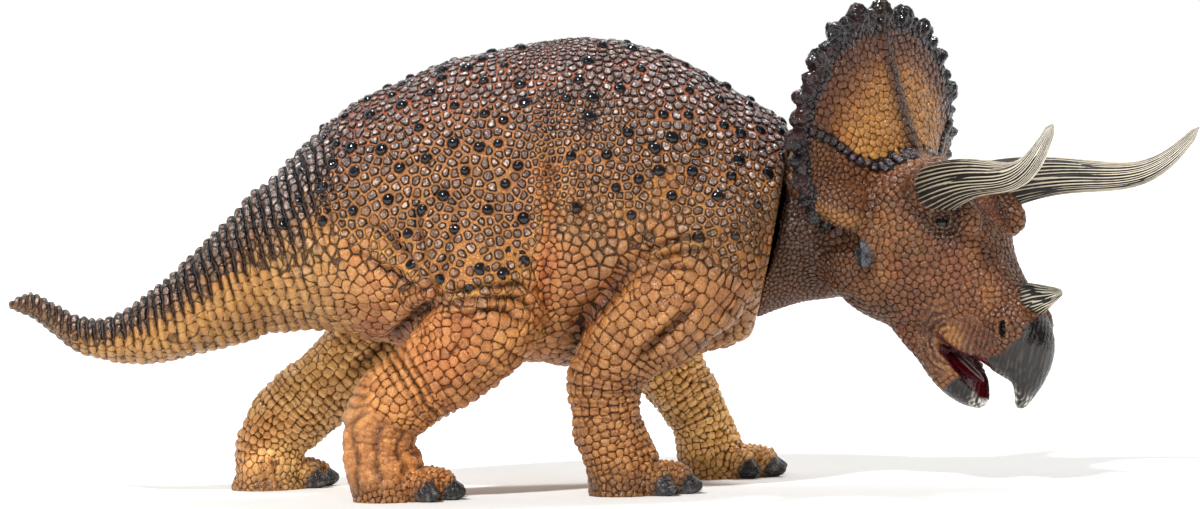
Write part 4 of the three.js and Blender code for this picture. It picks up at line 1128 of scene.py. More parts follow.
skullRows = [
    [-0.09, 0.2, -0.26, 0.5, 0.5], [-0.03, 0.46, -0.42, 0.84, 0.45], [0.1, 0.56, -0.48, 1.0, 0.4],
    [0.2, 0.59, -0.48, 0.97, 0.42], [0.29, 0.55, -0.44, 0.86, 0.5], [0.4, 0.47, -0.36, 0.73, 0.47],
    [0.5, 0.38, -0.28, 0.6, 0.44], [0.6, 0.33, -0.22, 0.5, 0.42], [0.7, 0.3, -0.19, 0.42, 0.4],
    [0.79, 0.25, -0.165, 0.34, 0.4], [0.845, 0.2, -0.15, 0.27, 0.4], [0.885, 0.13, -0.2, 0.2, 0.4],
    [0.91, 0.05, -0.26, 0.14, 0.4], [0.925, -0.06, -0.24, 0.07, 0.4],
]
jawRows = [
    [0.0, 0.1, -0.38, 0.85, 0.5], [0.2, 0.16, -0.4, 0.98, 0.5], [0.4, 0.16, -0.44, 0.95, 0.6],
    [0.55, -0.02, -0.52, 0.86, 0.75], [0.72, -0.1, -0.56, 0.7, 0.8], [0.88, -0.17, -0.52, 0.46, 0.8],
    [1.0, -0.26, -0.42, 0.16, 0.75],
]
frillRows = [
    [0.62, 0.0, -0.4], [0.8, 0.08, -0.46], [0.94, 0.23, -0.44], [1.0, 0.4, -0.34], [0.95, 0.6, -0.22],
    [0.8, 0.77, -0.1], [0.56, 0.91, -0.04], [0.29, 0.98, 0.0], [0.0, 1.0, 0.0],
]
neckRows = [
    [0.0, 1.2, 1.0, 1.0], [0.18, 1.22, 0.93, 0.97], [0.4, 1.15, 0.88, 0.98], [0.62, 1.0, 0.88, 1.0],
    [0.85, 0.88, 0.86, 0.96], [1.05, 0.72, 0.72, 0.8],
]
nod, swing = math.radians(headLook["nod"]), math.radians(-headLook["turn"])
headTurn = np.array([[math.cos(swing), -math.sin(swing), 0], [math.sin(swing), math.cos(swing), 0], [0, 0, 1]])
headTurn = headTurn @ np.array([[math.cos(nod), 0, math.sin(nod)], [0, 1, 0], [-math.sin(nod), 0, math.cos(nod)]])
headCentre = np.array(headLook["centre"])
frillUp = np.array([-math.sin(nod), 0, math.cos(nod)])
frillAhead = np.array([math.cos(nod), 0, math.sin(nod)])


def fromHead(local):
    return np.asarray(local, float) @ headTurn.T + headCentre


def intoHead(points):
    return (points - headCentre) @ headTurn


def placed(made):                  # a loft made in the head's frame, moved into the figure's
    return fromHead(made[0]), made[1]


def skullPlace(shares, side=1):        # shares of the skull's length, half width and height
    return np.array([headLook["skullLength"] * shares[0], side * shares[1] * (headLook["skullWidth"] / 2),
                     headLook["skullHeight"] * shares[2]])


def headLoft(rows, piece, start=0.0, level=0.0):
    length, height, width = [headLook[piece + size] for size in ("Length", "Height", "Width")]
    rings = []
    for along, top, bottom, wide, widest in smoothTable(rows, 4):
        v, w = eggRing(headLook["around"], width / 2 * wide, level + bottom * height, level + top * height, widest, 0.8)
        rings.append(np.stack([np.full(len(v), start + along * length), v, w], 1))
    return placed(loft(rings))


def frillPoint(row, out, lift):
    across, rise, ahead = row
    rootAcross = across * headLook["frillNarrow"]
    rootRise = headLook["frillLow"] + (rise - headLook["frillLow"]) * headLook["frillNarrow"]
    y = (rootAcross + (across - rootAcross) * out) * headLook["frillWidth"] / 2
    z = (rootRise + (rise - rootRise) * out) * headLook["frillHeight"]
    x = headLook["frillDish"] * ((1 - out) ** 1.5 + ahead * out) + lift
    return np.array([0, y, 0]) + frillUp * z + frillAhead * x


mirroredRows = [[-a, r, f] for a, r, f in frillRows[:-1]][::-1]
frillTable = smoothTable(frillRows + mirroredRows, 4)


def frillLoft():
    steps = np.linspace(0, 1, 12)
    rings = []
    for row in frillTable:
        half = (headLook["frillRoot"] + (headLook["frillRim"] - headLook["frillRoot"]) * steps) / 2
        front = [frillPoint(row, s, h) for s, h in zip(steps, half)]
        rings.append(front + [frillPoint(row, s, -h) for s, h in zip(steps[::-1], half[::-1])])
    return placed(loft(rings))


def knobLofts():                   # a big knob at each step of the rim and a small one between, all pointing out
    rim = np.array([frillPoint(row, 1, 0) for row in frillTable])
    passed = passedAlong(rim)
    passed /= passed[-1]
    made = []
    rng = np.random.RandomState(4)
    for k in range(2 * headLook["knobs"] + 1):
        share = k / (2 * headLook["knobs"])
        along = unit(rowsAt(min(share + 0.01, 1), passed, rim) - rowsAt(max(share - 0.01, 0), passed, rim))
        outward = unit(np.cross(frillAhead, along))
        size = 1.0 + 0.1 * rng.randn() + 0.12 * (abs(share - 0.5) < 0.02)
        forms = [(-0.4, headLook["bigKnob"]), (1.6, headLook["knobTip"])] if k % 2 else [(-0.3, headLook["smallKnob"])]
        for out, radii in forms:
            centre = rowsAt(share, passed, rim) + out * outward
            made.append(placed(eggSolid(centre, np.array(radii) * size, [along, outward, frillAhead])))
    return made


def neckLoft():
    start = collar + neckAxis * headLook["neckGap"]
    rings = []
    for along, nape, throat, wide in smoothTable(neckRows, 4):
        y, z = eggRing(headLook["neckAround"], headLook["neckWidth"] / 2 * wide, -headLook["neckHeight"] / 2 * throat,
                       headLook["neckHeight"] / 2 * nape, throat / (throat + nape))
        centre = start + (headCentre - start) * along
        rings.append(centre + np.outer(y, [0, 1, 0]) + np.outer(z, neckUp))
    return loft(rings)


# soft forms on the skull, each on both sides: centre and radii in the head's frame
headForms = {
    "brow": ((19, 10.6, 19.5), (8.5, 4.4, 5.0)),
    "hornRoot": ((12.5, 12.2, 19.5), (7.6, 7.0, 7.6)),
    "cheek": ((6, 16.5, -9), (9, 5.2, 9)),
    "flare": ((-4, 19.5, 3.5), (9.5, 9.5, 6.5)),
    "nostril": ((46, 5.6, 4.5), (6.5, 4.4, 6.5)),
    "lip": ((36, 7.6, -4.5), (9, 4.2, 4.2)),
}


def formLofts():
    made = []
    for centre, radii in headForms.values():
        for side in (-1, 1):
            made.append(placed(eggSolid((centre[0], side * centre[1], centre[2]), radii)))
    return made


print("head skin")
skullParts = [headLoft(skullRows, "skull")] + formLofts()
jawParts = [headLoft(jawRows, "jaw", headLook["skullLength"] * headLook["jawStart"],
                     headLook["skullHeight"] * headLook["jawLevel"])]
neckParts = [neckLoft()]
frillParts = [frillLoft()] + knobLofts()
headLofts = skullParts + jawParts + neckParts + frillParts
groups = [0] * len(skullParts) + [1] * len(jawParts) + [2] * len(neckParts) + [3] * len(frillParts)
coarseHead, coarseQuads, labels, edges, pointLabel, toBorder = labelledSkin("headSkin", headLofts, groups,
                                                                            headLook["voxel"])
u = intoHead(coarseHead)[:, 0]
creaseNear = hill(toBorder, 0, 3.6) * (1 - smoothStep(34, 38, u))
onSkull = (pointLabel == 0) * (1 - smoothStep(38, 46, u))
coarseHead = relax(coarseHead, edges, 0.6 * np.maximum(creaseNear, 0.55 * onSkull), 30)
headPoints, headQuads, headLabels = refined("headSkin", coarseHead, coarseQuads, labels)
print("head skin has", len(headPoints), "points")


def frillShare(local):             # how far a place lies out on the frill, 1 at the rim
    low = headLook["frillLow"]
    across = np.abs(local[:, 1]) / (headLook["frillWidth"] / 2)
    rise = local @ frillUp / headLook["frillHeight"]
    rim = np.array([[a, r] for a, r, f in smoothTable(frillRows, 6)])
    rimTurn = np.arctan2(rim[:, 1] - low, rim[:, 0])
    rimReach = np.hypot(rim[:, 0], rim[:, 1] - low)
    order = np.argsort(rimTurn)
    return np.hypot(across, rise - low) / np.interp(np.arctan2(rise - low, across), rimTurn[order], rimReach[order])


# the row of big scales: distance from the middle and height up the frill
ridgeRow = ([0, 5, 12, 16, 20, 23, 26.5, 30, 33], [15.4, 14.3, 13.4, 14.6, 16.3, 18.4, 20.4, 21.8, 23.4])


def headZones(points):
    local = intoHead(points)
    u, v, w = local.T
    side = np.abs(v)
    upright = local @ frillUp
    # the frill starts behind the row of big scales that runs from its lower corner to the horn's root
    onFrill = smoothStep(-1.2, 1.2, upright - np.interp(side, *ridgeRow))
    onFrill = onFrill * (1 - smoothStep(12, 17, local @ frillAhead))
    return {"u": u, "v": v, "w": w, "side": side, "out": frillShare(local), "upright": upright, "frill": onFrill}


def neckShare(points):             # 1 on the neck, 0 on the head
    along = (points - collar) @ neckAxis
    return 1 - smoothStep(10, 22, along)


def headSpacing(points, zone):
    space = np.full(len(points), headLook["faceScale"])
    space += (headLook["snoutScale"] - space) * smoothStep(28, 44, zone["u"])
    space += (headLook["frillScale"] - space) * zone["frill"]
    space += (headLook["neckScale"] - space) * neckShare(points) * (1 - zone["frill"])
    eye = np.linalg.norm(np.stack([zone["u"], zone["w"]], 1) - headLook["lid"], axis=1)
    space *= 1 - 0.35 * (1 - smoothStep(4, 8, eye))
    return space * (1 + 0.1 * waves(points, 18, 43))


print("head scales")
coarseNormals = pointNormals(coarseHead, coarseQuads)
coarseZone = headZones(coarseHead)
headSpace = headSpacing(coarseHead, coarseZone)


def movedApart(points, normals, zone):     # keeps the frill's front and back patterns apart
    return points + normals * (4.5 * smoothStep(6, 24, zone["upright"]))[:, None]


coarsePlace = movedApart(coarseHead, coarseNormals, coarseZone)
ridgePath = smoothTable([(-15.9, 32.5, 17.2), (-14.3, 29.9, 16.4), (-12.7, 26.5, 16.3), (-10.4, 23.3, 15.4),
                         (-7.9, 20.1, 14.4), (-5.6, 16.2, 14.4), (-3.3, 12.3, 14.6), (-2.1, 8.7, 16.0),
                         (-1.6, 5.5, 17.3), (-1.1, 1.7, 18.0)], 8)
ridgePassed = passedAlong(ridgePath)
ridgePlaces = rowsAt(np.arange(0.5, ridgePassed[-1], headLook["ridgePitch"]), ridgePassed, ridgePath)
coarseLocal = intoHead(coarseHead)
turnedAway = 30 * (coarseNormals @ (headTurn @ frillAhead) < 0.2)
ridgeSeeds = []
for side in (-1, 1):
    for place in ridgePlaces * (1, side, 1):
        ridgeSeeds.append(int(np.argmin(np.linalg.norm(coarseLocal - place, axis=1) + turnedAway)))
ridgeSeeds = np.unique(ridgeSeeds)
plainSeeds = scatter(coarsePlace, headSpace * 0.86, 17)
clear = distanceTo(coarsePlace[plainSeeds], coarsePlace[ridgeSeeds]) > headLook["ridgeClear"]
headSeeds = evenSeeds(coarsePlace, np.vstack([coarsePlace[ridgeSeeds], coarsePlace[plainSeeds[clear]]]))
headSeeds[:len(ridgeSeeds)] = coarsePlace[ridgeSeeds]
isRidge = np.arange(len(headSeeds)) < len(ridgeSeeds)
headRng = np.random.RandomState(51)
headBonus = np.where(isRidge, 0.6, 0.0) + 0.1 * headRng.rand(len(headSeeds))
headNormals = pointNormals(headPoints, headQuads)
zone = headZones(headPoints)
owner, reach, edge = cells(movedApart(headPoints, headNormals, zone), headSeeds, headBonus)
print("head has", len(headSeeds), "scales")

headEdges = edgesOf(headQuads)
space = headSpacing(headPoints, zone)
u, v, w, side = zone["u"], zone["v"], zone["w"], zone["side"]
front = headNormals @ (headTurn @ frillAhead)
neck = neckShare(headPoints)
ridge = isRidge[owner].astype(float)
edge = np.where(ridge > 0, np.minimum(edge, headLook["ridgeRadius"] - reach), edge)
onPlate = np.zeros(len(headPoints))
onPlate[headQuads[headLabels == 3].ravel()] = 1
for _ in range(4):
    onPlate = spread(onPlate, headEdges, len(headPoints))
onPlate = smoothStep(0.4, 0.75, onPlate)
neck = neck * (1 - onPlate)
rimShare = smoothStep(0.86, 0.96, zone["out"] + 0.02 * waves(headPoints, 9, 61)) * onPlate
rimSmooth = smoothStep(0.93, 0.99, zone["out"]) * onPlate
frillFront = zone["frill"] * smoothStep(-0.1, 0.4, front)
midRidge = hill(v, headLook["midRidge"], 2.5) * frillFront * (1 - smoothStep(0.86, 0.95, zone["out"]))
height = headLook["relief"] * (space / 1.7) * smoothStep(-0.02, 0.28, edge)
height += 0.12 * np.clip(1 - (reach / (0.62 * space)) ** 2, 0, 1)
leanWay = unit(np.random.RandomState(93).normal(size=(len(headSeeds), 3)))[owner]
lean = ((headPoints - headSeeds[owner]) * leanWay).sum(1) * (1 - ridge) * smoothStep(0.0, 0.2, edge)
height += 0.14 * np.clip(lean, -1, 1)
crown = np.sqrt(np.clip(1 - (reach / headLook["ridgeCrown"]) ** 2, 0, 1))
height += headLook["ridgeHeight"] * ridge * crown
height *= 1 - 0.75 * rimSmooth
height += 0.8 * midRidge
roundRim = np.arctan2(zone["upright"] - headLook["fluteMiddle"], v)
flutes = np.sin(roundRim * headLook["flutes"]) * rimSmooth * headLook["fluteDepth"]
height += flutes + 0.3 * waves(headPoints, 2.8, 63) * rimSmooth

# folds of skin: rings round the eye, arcs behind the mouth corner, creases from the mouth to the nostril
eyeAt, nostrilAt = np.array([19.2, 17.8]), np.array([47.4, 5.4])
earAt, cornerAt = np.array([9.5, -2.3]), np.array([38.5, -6.5])
flat = np.stack([u, w], 1)
sideFacing = smoothStep(2.0, 5.0, side)
eyeReach = np.linalg.norm(flat - eyeAt, axis=1)
lidRings = crest(eyeReach * 2 * np.pi / headLook["lidPitch"]) * smoothStep(2.0, 2.6, eyeReach)
lidRings *= 1 - smoothStep(4.8, 6.4, eyeReach)
lidRings *= sideFacing * (side < 17) * (side > 7)
height += 0.42 * lidRings
height += 0.9 * hill(eyeReach, 2.5, 0.85) * sideFacing * (side < 18) * (side > 7)
cornerReach = np.linalg.norm((flat - cornerAt) * (1.0, 0.9), axis=1)
cornerTurn = np.arctan2(w - cornerAt[1], u - cornerAt[0])
arcs = crest((cornerReach + 0.7 * waves(headPoints, 6, 71)) * 2 * np.pi / headLook["arcPitch"])
arcZone = smoothStep(1.0, 2.5, cornerReach) * (1 - smoothStep(7, 11, cornerReach)) * sideFacing
arcZone *= smoothStep(-0.15, 0.5, -np.cos(cornerTurn - 0.5))
height = height * (1 - 0.35 * arcZone) + 0.42 * arcs * arcZone
creases = crest((u + 0.35 * w + 0.3 * waves(headPoints, 5, 73)) * 2 * np.pi / headLook["creasePitch"])
creaseZone = smoothStep(36, 39, u) * (1 - smoothStep(46, 49, u)) * sideFacing
creaseZone *= smoothStep(-9, -6.5, w) * (1 - smoothStep(0, 4, w))
height = height * (1 - 0.3 * creaseZone) + 0.3 * creases * creaseZone

# the plate of cheek and frill overhangs the neck
plateEdge = np.interp(u, [-14, -4, 4, 12, 16], [-2.0, -1.0, 1.0, 0.5, -3.5])
recess = smoothStep(0.4, -1.6, w - plateEdge) * (1 - smoothStep(11, 17, u)) * smoothStep(-26, -14, w)
recess *= smoothStep(12, 16, side) * (1 - onPlate)
height -= headLook["recess"] * recess

# beaks: a smooth horny sheath with fine lines that run to its tip
beakLine = np.interp(w, [-12, -6.5, -3.9, 0.5, 6.6, 13.2], [42, 46, 47.9, 50.6, 51.6, 48.6])
upperBeak = smoothStep(-0.35, 0.35, u - beakLine) * (w > -13.2)
onJaw = np.zeros(len(headPoints))
onJaw[headQuads[headLabels == 1].ravel()] = 1
lowerBeak = smoothStep(-0.6, 0.6, u - 43.5 - 0.25 * (w + 16)) * onJaw
upperBeak = upperBeak * (1 - onJaw)
beak = np.maximum(upperBeak, lowerBeak)
tipWay, crossWay = unit(np.array([0.43, 0, -0.9])), np.array([0.9, 0, 0.43])
local = np.stack([u, v, w], 1)
streakPlace = np.stack([local @ crossWay, v, (local @ tipWay) * 0.035], 1)
streak = 0.75 * waves(streakPlace, 0.8, 81, 2)
height = height * (1 - beak) + beak * (0.35 + 0.15 * streak)

# mouth: the jaw's upper side is a crimson scoop, and so is the roof over it
facingUp = headNormals @ headTurn[:, 2]
jawHalf = np.interp(u, [20.8, 32.8, 37.3, 42.4, 47.2, 50.8], [10.4, 10.4, 9.5, 7.7, 5.1, 1.8])
scoop = onJaw * smoothStep(0.25, 0.6, facingUp) * smoothStep(34, 37, u)
inside = scoop * (1 - smoothStep(0.78, 0.92, side / jawHalf))
height -= headLook["mouthDepth"] * inside * (1 - (side / jawHalf) ** 2)
roof = (1 - onJaw) * smoothStep(-0.35, -0.75, facingUp) * smoothStep(33, 36, u) * (1 - smoothStep(47, 50, u)) * (w < -4)
mouth = np.maximum(inside, roof)
height = np.where(roof > 0.3, height * 0.3, height)

# nostril slit and ear slit, both upright in the standing figure
slitWay = np.array([-0.656, 0.755])
slitCross = np.array([0.755, 0.656])


def slit(at, halfLength, halfWidth, low, high):
    away = flat - at
    r = np.hypot(away @ slitWay / halfLength, away @ slitCross / halfWidth)
    return (1 - smoothStep(0.7, 1.15, r)) * (side > low) * (side < high)


nostril = slit(nostrilAt, 2.3, 0.85, 3.2, 12)
nostrilRim = slit(nostrilAt, 3.6, 2.1, 3.2, 12)
ear = slit(earAt + 0.5 * slitCross, 3.9, 2.7, 12, 26)
earDark = slit(earAt - 0.8 * slitCross, 3.5, 1.0, 12, 26)
height += 0.3 * nostrilRim - 1.5 * nostril
height = height * (1 - ear) + 0.55 * ear - 1.2 * earDark
headPoints = headPoints + headNormals * height[:, None]

# what the paint reads at each point
# as on the body: painted shade in hollows, a painted highlight on ridges
cavity = 0.6 * hollowness(headPoints, headQuads, *headLook["hollow"])
cavity = np.where(rimShare + ridge > 0.4, np.maximum(cavity, 0), cavity)
face = (1 - zone["frill"]) * (1 - neck)
ridgeDark = hill(v, headLook["midRidge"], 3.1) * frillFront
cavity = np.where(ridgeDark > 0.25, np.maximum(cavity, 0), cavity)
plateLine = smoothStep(0.5, 2.0, w - plateEdge) * smoothStep(6.0, 3.5, w - plateEdge) * smoothStep(7, 2, u)
plateLine *= smoothStep(12, 16, side) * (1 - rimShare)
eyeDark = (1 - smoothStep(3.4, 7.0, eyeReach)) * (side < 18) * (side > 6)
hornDark = 1 - smoothStep(7.5, 12, np.linalg.norm(np.stack([u, side, w], 1) - headLook["hornRoot"], axis=1))
behind = zone["frill"] * smoothStep(0.1, -0.4, front)
dark = np.maximum.reduce([rimShare, 0.6 * ridge, 0.4 * behind])
gold = zone["frill"] * smoothStep(0.0, 0.3, front) * (1 - smoothStep(0.6, 0.86, zone["out"])) * (1 - 0.75 * ridgeDark)
gold = np.maximum(0.8 * gold, 0.2 * face * smoothStep(0.1, 1.0, waves(headPoints, 22, 97)))
blush = zone["frill"] * smoothStep(0.55, 0.75, zone["out"]) * (1 - rimShare)
nearCorner = (1 - smoothStep(1.5, 5.5, cornerReach)) * sideFacing
calm = np.clip(beak + 0.35 * arcZone + 0.3 * creaseZone, 0, 1)
# painted shade in the grooves between the rings round the eye, and between the arcs and creases by the mouth
eyeRingShade = 0.42 * (1 - lidRings) * (eyeReach < 6) * (eyeReach > 1.9) * sideFacing * (side < 18)
foldGrooveShade = 0.7 * (1 - arcs) * arcZone + 0.5 * (1 - creases) * creaseZone
# darker paint on the neck, the frill's back, round the eye and horn roots, along the middle ridge, in blotches on the
# face and inside the rim; painted shade in the recess under the plate
headWashAndShade = np.maximum.reduce([0.42 * neck + 0.25 * behind + 0.45 * recess, 0.8 * eyeDark, 0.6 * hornDark,
                              0.97 * ridgeDark, 0.45 * face * smoothStep(0, 1, waves(headPoints, 16, 91)),
                              0.55 * smoothStep(0.6, 0.9, zone["out"]) * onPlate * (1 - rimShare)])
headFields = {
    "edge": edge * (1 - calm) + calm * 0.6, "cell": headRng.rand(len(headSeeds))[owner],
    "dark": np.clip(dark, 0, 1), "bump": np.clip(0.95 * rimSmooth + 0.8 * beak, 0, 1),
    "fold": np.clip(eyeRingShade + foldGrooveShade + earDark + nostril, 0, 1), "wash": np.clip(headWashAndShade, 0, 1),
    "nail": np.zeros(len(headPoints)), "cavity": cavity,
    "warm": np.clip(0.3 * blush + 0.35 * face * smoothStep(0.2, 1.0, waves(headPoints, 13, 101)), 0, 1),
    "gold": np.clip(gold + 0.5 * nearCorner + 0.6 * plateLine, 0, 1),
    "beak": beak, "streak": streak * 0.5 + 0.5, "mouth": mouth, "ear": ear,
    "pit": np.clip(nostril + 0.9 * earDark, 0, 1),
    "tip": np.clip(0.95 * smoothStep(-4, -8.5, w) * upperBeak + smoothStep(47.5, 51, u) * lowerBeak, 0, 1),
}
headPaint = {
    "scaleLight": "#7c4723", "scaleDeep": "#42230f", "scaleGap": "#241007", "flankGap": "#3c2214",
    # pale flecks on the dark tops here are painted highlights
    "backTop": "#1a1113", "backTopMid": "#32262a", "backTopLight": "#78666c", "backTopEdge": "#0a0709",
    "backGap": "#1d1112", "flankTint": "#ffffff", "bump": "#131014", "bumpWarm": "#3a1d19",
    "goldLight": "#c68b42", "goldDeep": "#885627", "goldGap": "#30190a", "wash": "#24150c",
    "blotchShare": 0.7, "creaseShare": 0.28, "gapFrom": -0.02, "gapTo": 0.12,
    "beak": [(0.15, "#060404"), (0.5, "#0e0a09"), (0.95, "#3a302a")],
    "beakTip": [(0.3, "#14100f"), (0.52, "#6d665e"), (0.8, "#d6d1c6")],
    "ear": [(0.35, "#222127"), (0.75, "#5b5d66")], "mouth": "#4e0711", "pit": "#070504",
}
headPlan = []
for name, node, depth in (("head_skin_shell", "head", 5), ("lower_jaw_shell", "lower_jaw", 2),
                          ("neck_skin_shell", "neck", 3), ("frill_skin_shell", "frill", 1.2)):
    kind = node.replace("lower_", "")
    headPlan.append({"name": name, "node": node, "slot": kind + "_skin", "depth": depth,
                     "material": paintedPvc("pvc_moulded_painted_" + kind, headPaint)})
cutPieces("head_group", headPoints, headQuads, headLabels, headFields, headPlan)

# Horns: bone-coloured PVC, moulded with long grooves that hold a black wash, dry-brushed pale on the ridges
hornLook = {
    "length": 54, "radius": 6, "sag": 7, "sagLate": 2.1, "ridges": 29, "noseLength": 9.4, "noseRadius": 4.4,
    "noseRidges": 21, "around": 260, "rows": 170, "groove": 0.3, "tipStart": 0.965,
    "lean": (0.51, 0.36, 0.78), "noseLean": (0.58, 0, 0.81), "nearBend": (-3.2, -2.6, 0.5),
    "base": [(0.0, "#83796a"), (0.35, "#b9b09d"), (1.0, "#efe9dd")], "warmth": "#f0eadb", "washColour": "#15110e",
}
browShares = [1.1, 0.98, 0.86, 0.76, 0.67, 0.58, 0.48, 0.37, 0.22]
noseShares = [1.02, 0.88, 0.66, 0.44, 0.2]


def hornMesh(root, reach, radius, sag, shares, seed, ridges):
    rows, around = hornLook["rows"], hornLook["around"]
    sizes = smoothTable([[s] for s in shares], 20)[:, 0]
    turn = np.arange(around) / around * 2 * np.pi
    points, groove = [], []
    phases = np.random.RandomState(seed).uniform(0, 6.28, 8)
    axis = unit(reach)
    sideAxis = unit(np.cross(axis, frillUp))
    topAxis = np.cross(sideAxis, axis)
    for t in np.arange(rows) / (rows - 1):
        centre = root + reach * t - frillUp * sag * math.sin(math.pi * t ** hornLook["sagLate"])
        size = np.interp(t, np.linspace(0, 1, len(sizes)), sizes) * radius
        size *= math.sqrt(max(1 - smoothStep(hornLook["tipStart"], 1.0, t) * 0.97, 0.0))
        wander = 0.5 * math.sin(2.1 * t * 6.28 / 2 + phases[0]) + 0.9 * t
        lines = 0.25 * np.sin(turn * 3 + phases[5] + t * 9)
        for k, count in enumerate((ridges, ridges + 9, ridges - 3)):
            bend = 1.4 * np.sin(turn * 3 + 4 * t + k) + 0.9 * np.sin(turn * 5 - 7 * t + 2 * k)
            lines += np.sin(count * turn + wander * (2 + 0.7 * k) + phases[k + 1] + bend) / (1 + 0.3 * k)
        depth = hornLook["groove"] * (1 - 0.55 * t) * min(radius / 5, 1)
        swell = size + depth * (np.clip(lines / 2, -1, 1) - 0.4) * min(size / 2, 1)
        points.append(centre + np.outer(np.cos(turn) * swell, sideAxis) + np.outer(np.sin(turn) * swell, topAxis))
        groove.append(np.clip(0.5 - lines / 1.9, 0, 1))
    ends = [points[0].mean(0) - axis * 3, points[-1].mean(0) + axis * 0.25]
    a, b = np.arange(around), (np.arange(around) + 1) % around
    quads = [np.stack([a, b, b + around, a + around], 1) + r * around for r in range(rows - 1)]
    count = rows * around
    caps = np.concatenate([np.stack([b, a, np.full(around, count)], 1),
                           np.stack([a + count - around, b + count - around, np.full(around, count + 1)], 1)])
    share = np.append(np.repeat(np.arange(rows) / (rows - 1), around), [0, 1])
    places = (fromHead(np.vstack(points + ends)) + originShift) * metre
    groove = np.append(np.concatenate(groove), [0.5, 0])
    return places, [np.concatenate(quads), caps], {"groove": groove, "share": share}


def hornPvc(name):
    material, tree = newMaterial(name)
    groove, share = [addNode(tree, "Attribute", {"attribute_name": key}).outputs["Fac"] for key in ("groove", "share")]
    place = addNode(tree, "TexCoord").outputs["Object"]
    speck = addNode(tree, "TexNoise", Vector=place, Scale=500, Detail=4)         # brush specks of 2 mm
    blotch = addNode(tree, "TexNoise", Vector=place, Scale=110, Detail=2)        # blotches of 9 mm
    base = addNode(tree, "ValToRGB", stops=hornLook["base"], Fac=share)
    yellow = addNode(tree, "Mix", multiplied, Factor=blotch, A=base, B=hornLook["warmth"])
    loaded = addNode(tree, "Math", timesPlus, Value=speck, Value_001=0.5, Value_002=groove)
    # the black wash reaches further near the root: painted shade at the horn's base
    fade = addNode(tree, "MapRange", Value=share, FromMin=0.0, FromMax=0.9, ToMin=0.33, ToMax=0.02)
    wash = addNode(tree, "Math", Value=loaded, Value_001=fade)
    streak = addNode(tree, "MapRange", eased, Value=wash, FromMin=0.6, FromMax=0.74)
    colour = addNode(tree, "Mix", colours, Factor=streak, A=yellow, B=hornLook["washColour"])
    rough = addNode(tree, "MapRange", Value=speck, ToMin=0.42, ToMax=0.62)
    bump = addNode(tree, "Bump", Strength=0.4, Distance=0.0002, Height=speck)
    shader = addNode(tree, "BsdfPrincipled", BaseColor=colour, Roughness=rough, IOR=1.5, Normal=bump,
                     SpecularIORLevel=0.35)
    addNode(tree, "OutputMaterial", Surface=shader)
    return material


print("horns")
hornPaint = hornPvc("pvc_moulded_drybrushed_horn")
hornSpecs = []
for name, side in (("brow_horn_right", -1), ("brow_horn_left", 1)):
    reach = np.array(hornLook["lean"]) * (1, side, 1) * hornLook["length"]
    if side < 0:
        reach = reach + hornLook["nearBend"]      # the near horn curls out and back a little more
    hornSpecs.append((name, skullPlace(headLook["browHorn"], side), reach, hornLook["radius"], hornLook["sag"],
                      browShares, 20 + side, hornLook["ridges"]))
noseReach = np.array(hornLook["noseLean"]) * hornLook["noseLength"]
hornSpecs.append(("nose_horn", skullPlace(headLook["noseHorn"]), noseReach, hornLook["noseRadius"], 0, noseShares, 27,
                  hornLook["noseRidges"]))
for name, *form in hornSpecs:
    places, faces, fields = hornMesh(*form)
    mesh = newMesh(name + "_shell", places, faces)
    setFields(mesh, fields)
    addPiece(name + "_shell", mesh, hornPaint, "head_group", name)


def specked(name, look):           # a new material with fine specks in two tones
    material, tree = newMaterial(name)
    place = addNode(tree, "TexCoord").outputs["Object"]
    speck = addNode(tree, "TexNoise", Vector=place, Scale=look["specks"], Detail=look["detail"])
    return material, tree, speck, addNode(tree, "ValToRGB", stops=look["colours"], Fac=speck)


# Eyes: glossy black beads, lacquered, with a trace of amber in the black
eyeLook = {"radius": 2.1, "facing": (0.1, 1, 0.15), "specks": 900, "detail": 2,
           "colours": [(0.45, "#030303"), (0.8, "#120a06")]}
eyePvc, tree, speck, colour = specked("pvc_painted_lacquered_eye", eyeLook)
rough = addNode(tree, "MapRange", Value=speck, ToMin=0.06, ToMax=0.12)
shader = addNode(tree, "BsdfPrincipled", BaseColor=colour, Roughness=rough, IOR=1.5)
addNode(tree, "OutputMaterial", Surface=shader)
for name, side in (("eye_right", -1), ("eye_left", 1)):
    outward = headTurn @ (np.array(eyeLook["facing"]) * (1, side, 1))
    level = np.cross([0, 0, 1], outward)
    bead = eggSolid(fromHead(skullPlace(headLook["eye"], side)), [eyeLook["radius"]] * 3,
                    [unit(outward), unit(level), unit(np.cross(outward, level))], 40, 24)
    addPiece(name + "_bead", loftMesh(name + "_bead", bead), eyePvc, "head_group", name)

